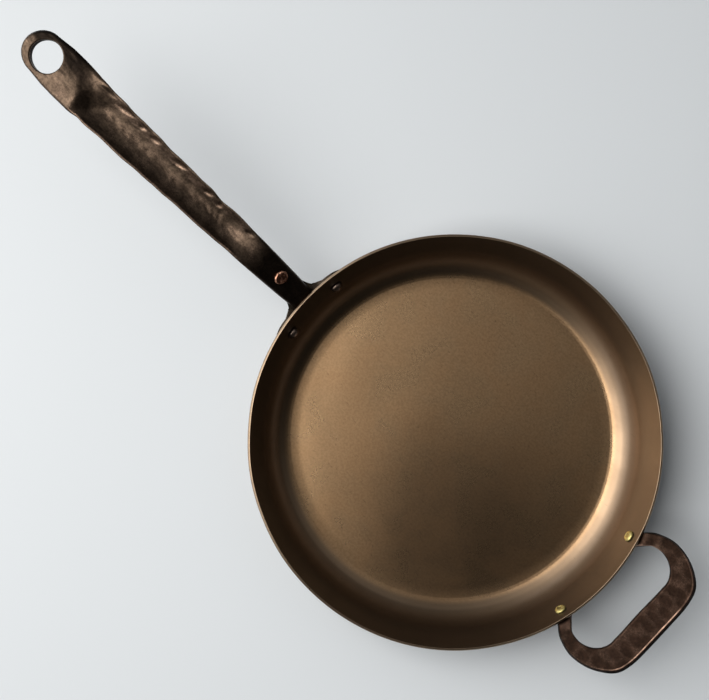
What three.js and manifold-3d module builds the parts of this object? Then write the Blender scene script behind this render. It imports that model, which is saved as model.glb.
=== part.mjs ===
// A hand-forged skillet: a spun-iron pan, a long trough-shaped handle on a riveted bracket, and a flat
// loop handle riveted to the wall opposite. Millimetres, +Z up. The origin is the centre of the base, on
// the surface that the pan stands on. The long handle points along +X and the loop handle along -X.

import * as THREE from "three";
import { mergeVertices } from "three/addons/utils/BufferGeometryUtils.js";
import Module from "manifold-3d";

// Pan body, spun from one disc of sheet iron
const rimDiameter = 305; // over the outside of the rim
const panHeight = 50; // from the base to the top of the rim
const panSheet = 2; // thickness of the floor and the wall
const wallLean = 13; // degrees that the straight wall leans outwards
const wallStraight = 26; // height of the straight part of the wall, below the rim
const creaseSlope = 16; // degrees at which the corner curve leaves the floor

// Fits
const seatGap = 0.3; // between faces that rest on each other
const shankGap = 0.3; // around a rivet's shank, in its hole

// Rivets through the wall
const bracketRivetDrop = 19.5; // below the rim, to the steel rivets' axes
const bracketRivetSpacing = 48.6; // between the two steel rivets
const loopRivetDrop = 11.6; // below the rim, to the brass rivets' axes
const loopRivetSpacing = 75.5; // between the two brass rivets
const steelShank = 5; // diameters of the steel rivets, and how far their ends stand up
const steelHead = 9.6;
const steelHeadRise = 4.2;
const steelTail = 9;
const steelTailRise = 2.2;
const brassShank = 4.5; // the brass rivets, likewise
const brassHead = 8.4;
const brassHeadRise = 3.6;
const brassTail = 7.6;
const brassTailRise = 1.8;

// Bracket, folded from one sheet: wings on the wall and a channel under the handle
const bracketSheet = 2;
const channelWidth = 18; // over the outside of the channel
const channelLength = 40; // along the handle, from the wall
const channelEndDepth = 7; // of the channel's free end
const wingRadius = 12; // of the wings' round ends
const wingLift = 3; // from the rivets' axes up to the middle of the wings
const wingStandOff = 5.5; // from the wall, where a wing turns into the channel
const wingBend = 5; // radius of that turn
const bracketDrop = 8.5; // below the rim, to the channel's top at the wall

// Long handle, forged from one bar
const handleLength = 270; // along the bar, from the wall to the tip
const rootSlope = 32; // degrees upwards on the bracket
const gripSlope = 11.5; // degrees upwards along the grip
const eyeSlope = 7; // degrees upwards at the tip
const rootLength = 44; // straight part on the bracket
const bendLength = 34; // from the root's slope to the grip's
const eyeLength = 52; // flat part with the eye, to the tip
const eyeTwist = 10; // degrees that the eye is turned about the bar
const eyeTwistLength = 40; // of the bar, in which it turns
const rootThickness = 5;
const gripThickness = 3.6;
const eyeThickness = 5;
const rootWidth = 18; // at the wall
const neckWidth = 21; // where the bar leaves the bracket
const eyeWidth = 33.5; // where the grip meets the eye
const tipRadius = 15;
const troughDepth = 7;
const troughRunIn = 44; // length in which the trough deepens, from the bracket
const troughRunOut = 12; // length in which it ends, before the eye
const eyeHoleLength = 25.4;
const eyeHoleWidth = 22.8;
const eyeHoleFromTip = 19.2; // to the hole's centre

// Copper rivet that holds the handle on its bracket
const handleRivetReach = 31; // along the handle, from the wall
const copperShank = 5;
const copperHead = 10;
const copperHeadRise = 1.8;
const copperTail = 8.4;
const copperTailRise = 1.8;

// Loop handle, forged from one bar
const loopWidth = 113.5; // over the outside
const loopReach = 52; // beyond the rim
const loopTilt = 10; // degrees upwards from the wall
const loopDrop = 5; // below the rim, to the middle of the bar at the wall
const loopCorner = 26; // radius of the corners, at the middle of the bar
const kneeAside = 4.55; // outwards from the rivet's axis to the middle of the knee
const kneeBeyond = 3.2; // from the rim out to it
const neckAside = 9.45; // the same for the neck, where the bar is narrowest
const neckBeyond = 9.7;
const legLean = 0.8; // inwards from the start of the corner to the middle of the leg
const legBeyond = 17; // from the rim out to it
const loopThickness = 5.5;
const loopGripWidth = 22.5; // of the bar, across the far side
const loopLegWidth = 12.5; // of the bar, where the corners start
const loopNeckWidth = 9.8; // of the bar, from the knee to the neck
const padWidth = 14.5;
const padThickness = 3.5;
const padReach = 9; // below the rivets' axes
const padRise = 3; // above them, to where the pad starts to turn outwards
const padLean = 1.2; // outwards from the rivet's axis to the middle of the pad's top

// Fineness of the curved surfaces
const panSides = 96;
const rivetSides = 16;
const cornerSteps = 6;
const domeSteps = 3;
const stationStep = 6; // between the rings of the long handle
const tipSteps = 7;
const ringSteps = 6; // across a forged bar
const loopStepsPerKey = 3;
const loopCornerSteps = 3;
const padSteps = 3;
const padEndTurn = 0.3; // radians from the pad's end to its first ring
const wingSteps = 4;

const wasm = await Module();
wasm.setup();

const { degToRad, lerp, smoothstep } = THREE.MathUtils;
const lean = degToRad(wallLean);
const bracketRivetHeight = panHeight - bracketRivetDrop;
const wingHeight = bracketRivetHeight + wingLift;
const loopRivetHeight = panHeight - loopRivetDrop;

// A closed geometry as a solid, for cutting and joining.
function solid(geometry) {
  const bare = geometry.clone();
  bare.deleteAttribute("normal");
  bare.deleteAttribute("uv");
  const merged = mergeVertices(bare);
  return new wasm.Manifold(
    new wasm.Mesh({
      numProp: 3,
      vertProperties: merged.attributes.position.array,
      triVerts: new Uint32Array(merged.index.array),
    }),
  );
}

// A solid as the geometry of a mesh.
function geometryOf(body) {
  const { vertProperties, triVerts } = body.getMesh();
  const geometry = new THREE.BufferGeometry();
  geometry.setAttribute("position", new THREE.BufferAttribute(vertProperties, 3));
  geometry.setIndex(new THREE.BufferAttribute(triVerts, 1));
  geometry.computeVertexNormals();
  return geometry;
}

// A body turned about the Z axis, from the [radius, height] points of its half outline.
function turned(outline, sides) {
  const points = outline.map(([radius, height]) => new THREE.Vector2(radius, height));
  return new THREE.LatheGeometry(points, sides).rotateX(Math.PI / 2);
}

// A closed skin over rings of equally many points, with both ends filled from their middles.
function skinned(rings) {
  const count = rings[0].length;
  const points = rings.flat();
  const index = [];
  for (let ring = 0; ring + 1 < rings.length; ring++) {
    for (let i = 0; i < count; i++) {
      const a = ring * count + i;
      const b = ring * count + ((i + 1) % count);
      index.push(a, b, b + count, a, b + count, a + count);
    }
  }
  for (const [ring, outwards] of [[0, -1], [rings.length - 1, 1]]) {
    const middle = points.length;
    const sum = rings[ring].reduce((total, point) => total.add(point), new THREE.Vector3());
    points.push(sum.divideScalar(count));
    for (let i = 0; i < count; i++) {
      const a = ring * count + i;
      const b = ring * count + ((i + 1) % count);
      index.push(...(outwards > 0 ? [a, b, middle] : [b, a, middle]));
    }
  }
  return new THREE.BufferGeometry().setFromPoints(points).setIndex(index);
}

// One ring of a forged bar: a strip with chamfered edges, its middle sunk to make a trough.
function barRing({ at, across, up, width, thickness, trough = 0 }) {
  const half = width / 2;
  const chamfer = Math.min(thickness, half) / 3;
  const flat = half - chamfer;
  const sunk = (a) => -trough * (1 - (a / half) ** 2);
  const outline = [];
  for (let i = 0; i <= ringSteps; i++) {
    const a = lerp(flat, -flat, i / ringSteps);
    outline.push([a, sunk(a) + thickness / 2]);
  }
  outline.push([-half, thickness / 2 - chamfer], [-half, chamfer - thickness / 2]);
  for (let i = 0; i <= ringSteps; i++) {
    const a = lerp(-flat, flat, i / ringSteps);
    outline.push([a, sunk(a) - thickness / 2]);
  }
  outline.push([half, chamfer - thickness / 2], [half, thickness / 2 - chamfer]);
  return outline.map(([a, u]) => at.clone().addScaledVector(across, a).addScaledVector(up, u));
}

// What a rivet holds together: the thicknesses, with a gap at each face.
function gripOf(...sheets) {
  return sheets.reduce((total, sheet) => total + sheet + seatGap, seatGap);
}

// A rivet along +Z: its round head ends at z = 0, and its tail starts at z = grip.
function rivet({ shank, head, headRise, tail, tailRise, grip }) {
  const dome = (radius, rise, base, from, to) =>
    Array.from({ length: domeSteps + 1 }, (_, i) => {
      const angle = lerp(from, to, i / domeSteps);
      return [radius * Math.sin(angle), base + rise * Math.cos(angle)];
    });
  return turned(
    [
      ...dome(head / 2, -headRise, 0, 0, Math.PI / 2),
      [shank / 2, 0],
      [shank / 2, grip],
      ...dome(tail / 2, tailRise, grip, Math.PI / 2, 0),
    ],
    rivetSides,
  );
}

// Radius of the wall's outside at a height, on the line of its straight part.
function wallRadius(height) {
  return rimDiameter / 2 - (panHeight - height) * Math.tan(lean);
}

// Angle about the pan's axis of a point on the wall, from its distance to one side and its height.
function wallTurn(aside, height) {
  return Math.asin(aside / wallRadius(height));
}

// The corner curve: its middle, and its radius on the inside of the sheet.
const creaseAngle = degToRad(creaseSlope);
const wallAngle = Math.PI / 2 - lean;
const cornerRise = Math.cos(creaseAngle) - Math.cos(wallAngle);
const cornerRadius = (panHeight - panSheet - wallStraight) / cornerRise;
const cornerTop = panHeight - wallStraight;
const cornerMiddle = [
  wallRadius(cornerTop) - panSheet / Math.cos(lean) - cornerRadius * Math.sin(wallAngle),
  cornerTop + cornerRadius * Math.cos(wallAngle),
];
const floorRadius = cornerMiddle[0] + cornerRadius * Math.sin(creaseAngle);

// Points of the corner curve at a distance outwards from the inside of the sheet.
function cornerCurve(outwards) {
  return Array.from({ length: cornerSteps + 1 }, (_, i) => {
    const angle = lerp(creaseAngle, wallAngle, i / cornerSteps);
    const radius = cornerRadius + outwards;
    return [cornerMiddle[0] + radius * Math.sin(angle), cornerMiddle[1] - radius * Math.cos(angle)];
  });
}

function panShell() {
  const baseRadius = floorRadius + panSheet * Math.tan(creaseAngle / 2);
  const rim = rimDiameter / 2;
  return turned(
    [
      [0, 0],
      [baseRadius, 0],
      ...cornerCurve(panSheet),
      [rim, panHeight],
      [rim - panSheet / Math.cos(lean), panHeight],
      ...cornerCurve(0).reverse(),
      [0, panSheet],
    ],
    panSides,
  );
}

// The pan as a filled body, grown by the seat gap and carried up past the rim. It cuts what sits on it.
function panBlank() {
  const top = panHeight + handleLength;
  return turned(
    [
      [0, -seatGap],
      [floorRadius, -seatGap],
      ...cornerCurve(panSheet + seatGap),
      [wallRadius(top) + seatGap / Math.cos(lean), top],
      [0, top],
    ],
    panSides,
  );
}

const skillet = new THREE.Group();

// Frames for a pair of rivets on the outside of the wall, with +Z straight out of the wall.
function wallSeats(parent, spacing, height) {
  return [1, -1].map((side) => {
    const spin = new THREE.Group();
    spin.rotation.z = side * wallTurn(spacing / 2, height);
    const seat = new THREE.Group();
    seat.position.set(wallRadius(height), 0, height);
    seat.rotation.y = Math.PI / 2 + lean;
    parent.add(spin.add(seat));
    return seat;
  });
}

const loopSide = new THREE.Group();
loopSide.rotation.z = Math.PI;
skillet.add(loopSide);
const bracketSeats = wallSeats(skillet, bracketRivetSpacing, bracketRivetHeight);
const loopSeats = wallSeats(loopSide, loopRivetSpacing, loopRivetHeight);

// The handle's frame: its origin is on the wall, +X runs up the root and z = 0 is the bar's underside.
const root = new THREE.Group();
root.position.set(wallRadius(panHeight - bracketDrop), 0, panHeight - bracketDrop);
root.rotation.y = -degToRad(rootSlope);
skillet.add(root);
const handleSeat = new THREE.Group();
handleSeat.position.set(handleRivetReach, 0, 0);
root.add(handleSeat);
skillet.updateMatrixWorld(true);

// The matrix that carries things from one frame into another.
function between(from, into) {
  return into.matrixWorld.clone().invert().multiply(from.matrixWorld);
}

// A drill for a rivet's hole on its seat, given in the frame of the piece that it goes through.
function drill(seat, into, shank) {
  const radius = shank / 2 + shankGap;
  const length = 2 * (channelLength + panSheet);
  const rod = new THREE.CylinderGeometry(radius, radius, length, rivetSides).rotateX(Math.PI / 2);
  return solid(rod.applyMatrix4(between(seat, into)));
}

function panBody() {
  const holes = [
    ...bracketSeats.map((seat) => drill(seat, skillet, steelShank)),
    ...loopSeats.map((seat) => drill(seat, skillet, brassShank)),
  ];
  return geometryOf(holes.reduce((body, hole) => body.subtract(hole), solid(panShell())));
}

// The bracket seen from above, laid out along the wall: x is across the handle and y is out from the
// wall. The faces lie inset by some thickness, and the wings run to a given end.
function bracketPlan(inset, end, reach) {
  const turn = wallTurn(bracketRivetSpacing / 2, bracketRivetHeight);
  const slant = 1 / (Math.cos(turn) * Math.cos(lean));
  const wing = (seatGap + bracketSheet - inset) * slant;
  const knee = wing + wingStandOff;
  const half = channelWidth / 2 - inset;
  const bend = wingBend + inset;
  const hugEnd = bracketRivetSpacing / 2 - steelTail / 2 - seatGap;
  const side = [];
  for (let i = 0; i <= wingSteps; i++) {
    side.push(new THREE.Vector2(lerp(end, hugEnd, i / wingSteps), wing));
  }
  const fold = new THREE.QuadraticBezierCurve(
    new THREE.Vector2(half + bend, knee),
    new THREE.Vector2(half, knee),
    new THREE.Vector2(half, knee + bend),
  );
  side.push(...fold.getPoints(domeSteps), new THREE.Vector2(half, reach));
  side.unshift(new THREE.Vector2(end, -panSheet));
  const mirrored = side.map((point) => new THREE.Vector2(-point.x, point.y)).reverse();
  return new THREE.Shape([...side, ...mirrored]);
}

// A plan carried up from one height to another, following the wall's lean and curve.
function alongWall(plan, low, high) {
  const geometry = new THREE.ExtrudeGeometry(plan, { depth: high - low, bevelEnabled: false });
  const position = geometry.attributes.position;
  for (let i = 0; i < position.count; i++) {
    const across = position.getX(i);
    const height = low + position.getZ(i);
    const wall = Math.sqrt(wallRadius(height) ** 2 - across ** 2);
    position.setXYZ(i, wall + position.getY(i), -across, height);
  }
  return geometry;
}

// The wings' outline seen from the handle's end: two ears with round ends.
function wingFaces(depth) {
  const y = bracketRivetSpacing / 2;
  const innerEnd = (channelWidth + wingBend) / 2;
  const facing = new THREE.Matrix4().makeBasis(
    new THREE.Vector3(0, 1, 0),
    new THREE.Vector3(0, 0, 1),
    new THREE.Vector3(1, 0, 0),
  );
  const ears = [0, Math.PI].map((turn) => {
    const ear = new THREE.Shape();
    ear.absarc(y, 0, wingRadius, -Math.PI / 2, Math.PI / 2);
    ear.lineTo(innerEnd, wingRadius);
    ear.lineTo(innerEnd, -wingRadius);
    const plate = new THREE.ExtrudeGeometry(ear, { depth, bevelEnabled: false });
    return solid(plate.rotateZ(turn).translate(0, wingHeight, 0).applyMatrix4(facing));
  });
  return ears[0].add(ears[1]);
}

// The channel's outline seen from the side, under the handle's slope, as wide as the wings' turns.
function channelSide() {
  const rootPoint = (x, z) => root.localToWorld(new THREE.Vector3(x, 0, z));
  const low = wingHeight - wingRadius;
  const corners = [
    new THREE.Vector3(wallRadius(low) - panSheet, 0, low),
    rootPoint(channelLength, -seatGap - channelEndDepth),
    rootPoint(channelLength, -seatGap),
    rootPoint(-channelWidth, -seatGap),
  ];
  const side = new THREE.Shape(corners.map((corner) => new THREE.Vector2(corner.x, corner.z)));
  const width = channelWidth + 2 * wingBend;
  const geometry = new THREE.ExtrudeGeometry(side, { depth: width, bevelEnabled: false });
  return geometry.rotateX(Math.PI / 2).translate(0, width / 2, 0);
}

function handleBracket() {
  const reach = channelLength + channelWidth;
  const low = wingHeight - 2 * wingRadius;
  const high = panHeight + channelLength;
  const wingEnd = bracketRivetSpacing / 2 + wingRadius + seatGap;
  const hugEnd = bracketRivetSpacing / 2 - steelTail / 2 - seatGap;
  const folded = solid(alongWall(bracketPlan(0, wingEnd, reach), low, high));
  const outline = wingFaces(rimDiameter).add(solid(channelSide()));
  const hollow = solid(alongWall(bracketPlan(bracketSheet, hugEnd, reach + channelWidth), low, high));
  const underWeb = new THREE.BoxGeometry(rimDiameter, rimDiameter, rimDiameter);
  underWeb.translate(0, 0, -rimDiameter / 2 - seatGap - bracketSheet).applyMatrix4(root.matrixWorld);
  const overWeb = new THREE.BoxGeometry(rimDiameter, neckWidth + 2 * seatGap, rimDiameter);
  overWeb.translate(0, 0, rimDiameter / 2 - seatGap).applyMatrix4(root.matrixWorld);
  let bracket = folded.intersect(outline).subtract(hollow.intersect(solid(underWeb)));
  bracket = bracket.subtract(solid(overWeb)).subtract(solid(panBlank()));
  for (const seat of bracketSeats) {
    bracket = bracket.subtract(drill(seat, skillet, steelShank));
  }
  return geometryOf(bracket.subtract(drill(handleSeat, skillet, copperShank)));
}

// The bar's slope from level, in radians, at a distance along it.
function handleSlope(s) {
  const bend = smoothstep(s, rootLength, rootLength + bendLength);
  const nod = smoothstep(s, handleLength - eyeLength - bendLength, handleLength - tipRadius);
  return degToRad(lerp(lerp(rootSlope, gripSlope, bend), eyeSlope, nod));
}

// A value that runs straight between [distance, value] pairs along the bar.
function runs(pairs, s) {
  const next = Math.max(1, pairs.findIndex(([at]) => at >= s));
  const [from, low] = pairs[next - 1];
  const [to, high] = pairs[next];
  return lerp(low, high, (s - from) / (to - from));
}

// Width, thickness and trough of the long handle at a distance along it.
function handleSection(s) {
  const eyeStart = handleLength - eyeLength;
  const tipStart = handleLength - tipRadius;
  const pastTip = Math.max(0, s - tipStart);
  const widths = [[-channelWidth, rootWidth], [0, rootWidth], [rootLength, neckWidth]];
  widths.push([eyeStart, eyeWidth], [tipStart, 2 * tipRadius], [handleLength, 2 * tipRadius]);
  const thicknesses = [[-channelWidth, rootThickness], [rootLength, rootThickness]];
  thicknesses.push([rootLength + bendLength, gripThickness], [eyeStart - troughRunOut, gripThickness]);
  thicknesses.push([eyeStart, eyeThickness], [handleLength, eyeThickness]);
  const deepens = smoothstep(s, rootLength, rootLength + troughRunIn);
  const ends = smoothstep(s, eyeStart - troughRunOut, eyeStart);
  return {
    width: runs(widths, s) * Math.sqrt(1 - (pastTip / tipRadius) ** 2),
    thickness: runs(thicknesses, s),
    trough: troughDepth * deepens * (1 - ends),
  };
}

// Distances along the bar at which it has a ring, closer together round the tip.
function handleStations() {
  const start = -rootWidth / 2;
  const tipStart = handleLength - tipRadius;
  const steps = Math.ceil((tipStart - start) / stationStep);
  const stations = [];
  for (let i = 0; i < steps; i++) {
    stations.push(lerp(start, tipStart, i / steps));
  }
  const lastTurn = Math.PI / 2 - Math.PI / (8 * tipSteps);
  for (let i = 0; i <= tipSteps; i++) {
    const turn = Math.min((i / tipSteps) * (Math.PI / 2), lastTurn);
    stations.push(tipStart + tipRadius * Math.sin(turn));
  }
  return stations;
}

// The bar's middle line in the handle's frame, as a function of the distance along it.
function handlePoint(s) {
  const steps = Math.max(1, Math.ceil(Math.abs(s)));
  const point = new THREE.Vector3(0, 0, rootThickness / 2);
  for (let i = 0; i < steps; i++) {
    const turn = handleSlope(((i + 0.5) / steps) * s) - degToRad(rootSlope);
    point.x += (Math.cos(turn) * s) / steps;
    point.z += (Math.sin(turn) * s) / steps;
  }
  return point;
}

// The bar's directions in the handle's frame: along it, across it and up from it.
function handleAxes(s) {
  const turn = handleSlope(s) - degToRad(rootSlope);
  const twistStart = handleLength - eyeLength - eyeTwistLength / 2;
  const twist = degToRad(eyeTwist) * smoothstep(s, twistStart, twistStart + eyeTwistLength);
  const along = new THREE.Vector3(Math.cos(turn), 0, Math.sin(turn));
  const across = new THREE.Vector3(0, 1, 0).applyAxisAngle(along, -twist);
  return { along, across, up: along.clone().cross(across) };
}

function longHandle() {
  const rings = handleStations().map((s) => {
    const { across, up } = handleAxes(s);
    return barRing({ at: handlePoint(s), across, up, ...handleSection(s) });
  });
  const eyeAt = handleLength - eyeHoleFromTip;
  const oval = new THREE.Shape();
  oval.absellipse(0, 0, eyeHoleLength / 2, eyeHoleWidth / 2, 0, 2 * Math.PI);
  const punch = new THREE.ExtrudeGeometry(oval, { depth: 4 * eyeThickness, bevelEnabled: false });
  const { along, across, up } = handleAxes(eyeAt);
  const eyePlace = new THREE.Matrix4().makeBasis(along, across, up).setPosition(handlePoint(eyeAt));
  punch.translate(0, 0, -2 * eyeThickness).applyMatrix4(eyePlace);
  const pan = panBlank().applyMatrix4(between(skillet, root));
  const bar = solid(skinned(rings)).subtract(solid(punch)).subtract(solid(pan));
  return geometryOf(bar.subtract(drill(handleSeat, root, copperShank)));
}

// A point on the wall's outside, at a distance aside and a height, moved straight out of the wall.
function onWall(aside, height, out) {
  const point = new THREE.Vector3(wallRadius(height), 0, height);
  point.addScaledVector(new THREE.Vector3(Math.cos(lean), 0, -Math.sin(lean)), out);
  return point.applyAxisAngle(new THREE.Vector3(0, 0, 1), wallTurn(aside, height));
}

// The direction straight into the wall, at a distance aside and a height.
function intoWall(aside, height) {
  const inwards = new THREE.Vector3(-Math.cos(lean), 0, Math.sin(lean));
  return inwards.applyAxisAngle(new THREE.Vector3(0, 0, 1), wallTurn(aside, height));
}

// Places along one half of the loop, from the end of its pad to the middle of its far side.
function loopKeys() {
  const tilt = degToRad(loopTilt);
  const rim = rimDiameter / 2;
  const legHeight = panHeight - loopDrop;
  const legStart = wallRadius(legHeight);
  const legSide = (loopWidth - loopLegWidth) / 2;
  const gripLine = rim + loopReach - (loopGripWidth / 2) * Math.cos(tilt);
  const level = new THREE.Vector3(-Math.sin(tilt), 0, Math.cos(tilt));
  const onLoop = (x, y) => new THREE.Vector3(x, y, legHeight + (x - legStart) * Math.tan(tilt));
  const pastRim = (beyond, y) => onLoop(Math.sqrt((rim + beyond) ** 2 - y ** 2), y);
  const padSide = loopRivetSpacing / 2;
  const padOut = seatGap + padThickness / 2;
  const padUp = intoWall(padSide, loopRivetHeight);
  const keys = [];
  const padKey = (aside, rise, width) => {
    const at = onWall(padSide + aside, loopRivetHeight + rise, padOut);
    keys.push({ at, up: padUp, width, thickness: padThickness });
  };
  const barKey = (at, up, width, thickness = loopThickness) => keys.push({ at, up, width, thickness });
  for (let i = 0; i <= padSteps; i++) {
    const turn = lerp(padEndTurn, Math.PI / 2, i / padSteps);
    padKey(0, -padReach * Math.cos(turn), padWidth * Math.sin(turn));
  }
  padKey(padLean, padRise, (padWidth + loopNeckWidth) / 2);
  const kneeUp = padUp.clone().add(level).normalize();
  const kneeThickness = (padThickness + loopThickness) / 2;
  barKey(pastRim(kneeBeyond, padSide + kneeAside), kneeUp, loopNeckWidth, kneeThickness);
  barKey(pastRim(neckBeyond, padSide + neckAside), level, loopNeckWidth);
  barKey(pastRim(legBeyond, legSide - legLean), level, (loopNeckWidth + loopLegWidth) / 2);
  for (let i = 0; i <= loopCornerSteps; i++) {
    const share = i / loopCornerSteps;
    const angle = (share * Math.PI) / 2;
    const x = gripLine - loopCorner * (1 - Math.sin(angle));
    const y = legSide - loopCorner * (1 - Math.cos(angle));
    barKey(onLoop(x, y), level, lerp(loopLegWidth, loopGripWidth, share));
  }
  barKey(onLoop(gripLine, 0), level, loopGripWidth);
  return keys;
}

// The whole loop: its half and the mirror image of it, with a smooth line through all the places.
function loopHandle() {
  const half = loopKeys();
  const flip = ({ at, up, ...rest }) => ({
    at: new THREE.Vector3(at.x, -at.y, at.z),
    up: new THREE.Vector3(up.x, -up.y, up.z),
    ...rest,
  });
  const keys = [...half, ...half.slice(0, -1).map(flip).reverse()];
  const line = new THREE.CatmullRomCurve3(keys.map((key) => key.at));
  const steps = (keys.length - 1) * loopStepsPerKey;
  const rings = [];
  for (let i = 0; i <= steps; i++) {
    const share = i / steps;
    const before = Math.min(keys.length - 2, Math.floor(i / loopStepsPerKey));
    const part = i / loopStepsPerKey - before;
    const along = line.getTangent(share);
    const up = keys[before].up.clone().lerp(keys[before + 1].up, part);
    up.addScaledVector(along, -up.dot(along)).normalize();
    rings.push(
      barRing({
        at: line.getPoint(share),
        across: up.clone().cross(along),
        up,
        width: lerp(keys[before].width, keys[before + 1].width, part),
        thickness: lerp(keys[before].thickness, keys[before + 1].thickness, part),
      }),
    );
  }
  const bar = solid(skinned(rings)).subtract(solid(panBlank()));
  const holes = loopSeats.map((seat) => drill(seat, loopSide, brassShank));
  return geometryOf(holes.reduce((body, hole) => body.subtract(hole), bar));
}

// Adds a named mesh with a metal finish of its own.
function addPiece(parent, name, geometry, color, roughness) {
  const material = new THREE.MeshStandardMaterial({ color, roughness, metalness: 1 });
  const piece = new THREE.Mesh(geometry, material);
  piece.name = name;
  parent.add(piece);
  return piece;
}

addPiece(skillet, "pan_body", panBody(), 0x8a6c46, 0.4);
addPiece(skillet, "handle_bracket", handleBracket(), 0x5a5046, 0.55);
addPiece(root, "long_handle", longHandle(), 0x54402f, 0.5);
addPiece(loopSide, "loop_handle", loopHandle(), 0x5c4030, 0.5);

const sideNames = ["left", "right"];
const wallSeatDepth = -panSheet - seatGap;
bracketSeats.forEach((seat, i) => {
  const steel = rivet({
    shank: steelShank,
    head: steelHead,
    headRise: steelHeadRise,
    tail: steelTail,
    tailRise: steelTailRise,
    grip: gripOf(panSheet, bracketSheet),
  });
  addPiece(seat, `bracket_rivet_${sideNames[i]}`, steel, 0x4a3f36, 0.45).position.z = wallSeatDepth;
});
loopSeats.forEach((seat, i) => {
  const brass = rivet({
    shank: brassShank,
    head: brassHead,
    headRise: brassHeadRise,
    tail: brassTail,
    tailRise: brassTailRise,
    grip: gripOf(panSheet, padThickness),
  });
  addPiece(seat, `loop_rivet_${sideNames[i]}`, brass, 0xc8b04c, 0.35).position.z = wallSeatDepth;
});

const copper = rivet({
  shank: copperShank,
  head: copperHead,
  headRise: copperHeadRise,
  tail: copperTail,
  tailRise: copperTailRise,
  grip: gripOf(rootThickness, bracketSheet),
});
const handleRivet = addPiece(handleSeat, "handle_rivet", copper, 0xb0623f, 0.35);
handleRivet.rotation.x = Math.PI;
handleRivet.position.z = rootThickness + seatGap;

export default skillet;
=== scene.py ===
"""Looks of a hand-forged skillet: a spun pan with a bronze-brown baked finish, a hammered trough handle
on a folded bracket, a flat forged loop opposite, and steel, brass and copper rivets."""
import math

import bmesh
import bpy
import numpy as np
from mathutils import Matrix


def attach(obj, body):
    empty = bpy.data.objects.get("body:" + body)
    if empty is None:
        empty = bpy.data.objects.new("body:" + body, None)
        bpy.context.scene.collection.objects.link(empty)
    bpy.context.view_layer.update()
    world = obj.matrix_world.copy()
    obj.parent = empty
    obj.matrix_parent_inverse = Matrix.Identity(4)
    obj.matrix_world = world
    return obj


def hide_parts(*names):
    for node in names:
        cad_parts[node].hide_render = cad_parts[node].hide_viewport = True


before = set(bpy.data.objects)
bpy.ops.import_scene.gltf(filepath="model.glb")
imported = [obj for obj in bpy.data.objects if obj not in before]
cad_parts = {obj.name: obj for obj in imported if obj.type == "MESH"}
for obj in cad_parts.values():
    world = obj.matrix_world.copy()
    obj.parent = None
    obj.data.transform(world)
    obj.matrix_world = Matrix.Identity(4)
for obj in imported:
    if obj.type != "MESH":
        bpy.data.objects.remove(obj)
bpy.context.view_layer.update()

MM = 0.001
TURN = 2 * math.pi
WAVES, WAVE_SPREAD = 28, (0.6, 1.7)
WELD, SLIVER = 2e-6, 1e-7

# Pan, in millimetres
RIM_RADIUS = 152.5
PAN_HEIGHT = 50.0
SHEET = 2.0
FLOOR_RADIUS = 124.4
LEAN = math.radians(13)
CREASE = math.radians(16)
CREASE_FILLET = 9.0
GROOVE_OUT, GROOVE_HALF, GROOVE_DEPTH = 7.5, 1.5, 0.07
INNER_LEAN = math.radians(15.5)
EDGE_START, EDGE_RISE, EDGE_FADE = 115.5, 0.0055, (1.0, 14.0)
RIM_ROUND = 0.38
RIM_SLOPE_LENGTH, RIM_SLOPE_FACING, RIM_SLOPE_SPREAD = 1.5, math.radians(54), math.radians(9)
RIM_RUB_START, RIM_RUB_END = (0.1, 0.6), (2.4, 3.0)
# Steps of its grid. A corner's are those of its arc and its fillet
PAN_SECTORS, RIM_STEPS, BASE_STEPS, WALL_STEPS = 360, 49, 18, 12
UNDER_STEPS, INSIDE_STEPS = (26, 6), (60, 12)
CALM_RADIUS, CALM_STEPS, FLOOR_EDGE_STEPS = 100.0, 28, 24
# Unevenness, and the spans over which it comes and goes
UNEVEN_LENGTH, FLOOR_UNEVEN, WALL_UNEVEN = 55.0, 0.05, 0.10
UNEVEN_FROM, FLOOR_EVENS_OUT, WALL_UNEVEN_FROM = (0.0, 30.0), (100.0, 118.0), (12.0, 30.0)
GAP = 0.3

# Bracket and its steel rivets
BRACKET_RIVET_HEIGHT = 30.5
BRACKET_RIVET_SPACING = 48.6
BRACKET_SHEET = 2.0
BRACKET_EDGE = 0.45
FLAT_ANGLE, FOLD_ANGLE, SHADE_ANGLE = math.radians(1), math.radians(40), math.radians(32)
CHANNEL_SIDE, WING_FLARE, WING_SEAT, WING_TUCK = 9.0, 13.2, 19.5, 3.4

# Long handle
HANDLE_LENGTH = 270.0
HANDLE_DROP = 8.5
ROOT_SLOPE, GRIP_SLOPE, EYE_SLOPE = 32.0, 11.5, 7.0
ROOT_LENGTH, BEND_LENGTH, EYE_LENGTH = 44.0, 34.0, 52.0
EYE_TWIST, EYE_TWIST_LENGTH = 10.0, 40.0
ROOT_THICKNESS, GRIP_THICKNESS, EYE_THICKNESS, EYE_SWELL = 5.0, 3.6, 5.0, 12.0
EYE_START = HANDLE_LENGTH - EYE_LENGTH
TIP_RADIUS = 15.0
TIP_AT = HANDLE_LENGTH - TIP_RADIUS
HOLE_FROM_TIP = 18.4
HOLE_AT = HANDLE_LENGTH - HOLE_FROM_TIP
HOLE_HALF_LENGTH, HOLE_HALF_WIDTH, HOLE_ROUND = 11.4, 11.1, 1.1
HOLE_LEAN, HOLE_LEAN_REACH = 1.0, 4.0
TROUGH_DEPTH, TROUGH_RUN_IN = 7.0, 44.0
TROUGH_ENDS, TROUGH_RUNS_OUT, TROUGH_SIDES = (229.0, 220.0), (36.0, 13.0), (-7.0, 8.0)
POCKET_AT, POCKET_HALF, POCKET_DEPTH = (213.0, 1.0), (4.5, 5.0), 0.9
RIDGE_AT, RIDGE_ROUND, SLANT, UNDER_SLANT = 2.0, 4.0, 0.33, 0.6
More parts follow.
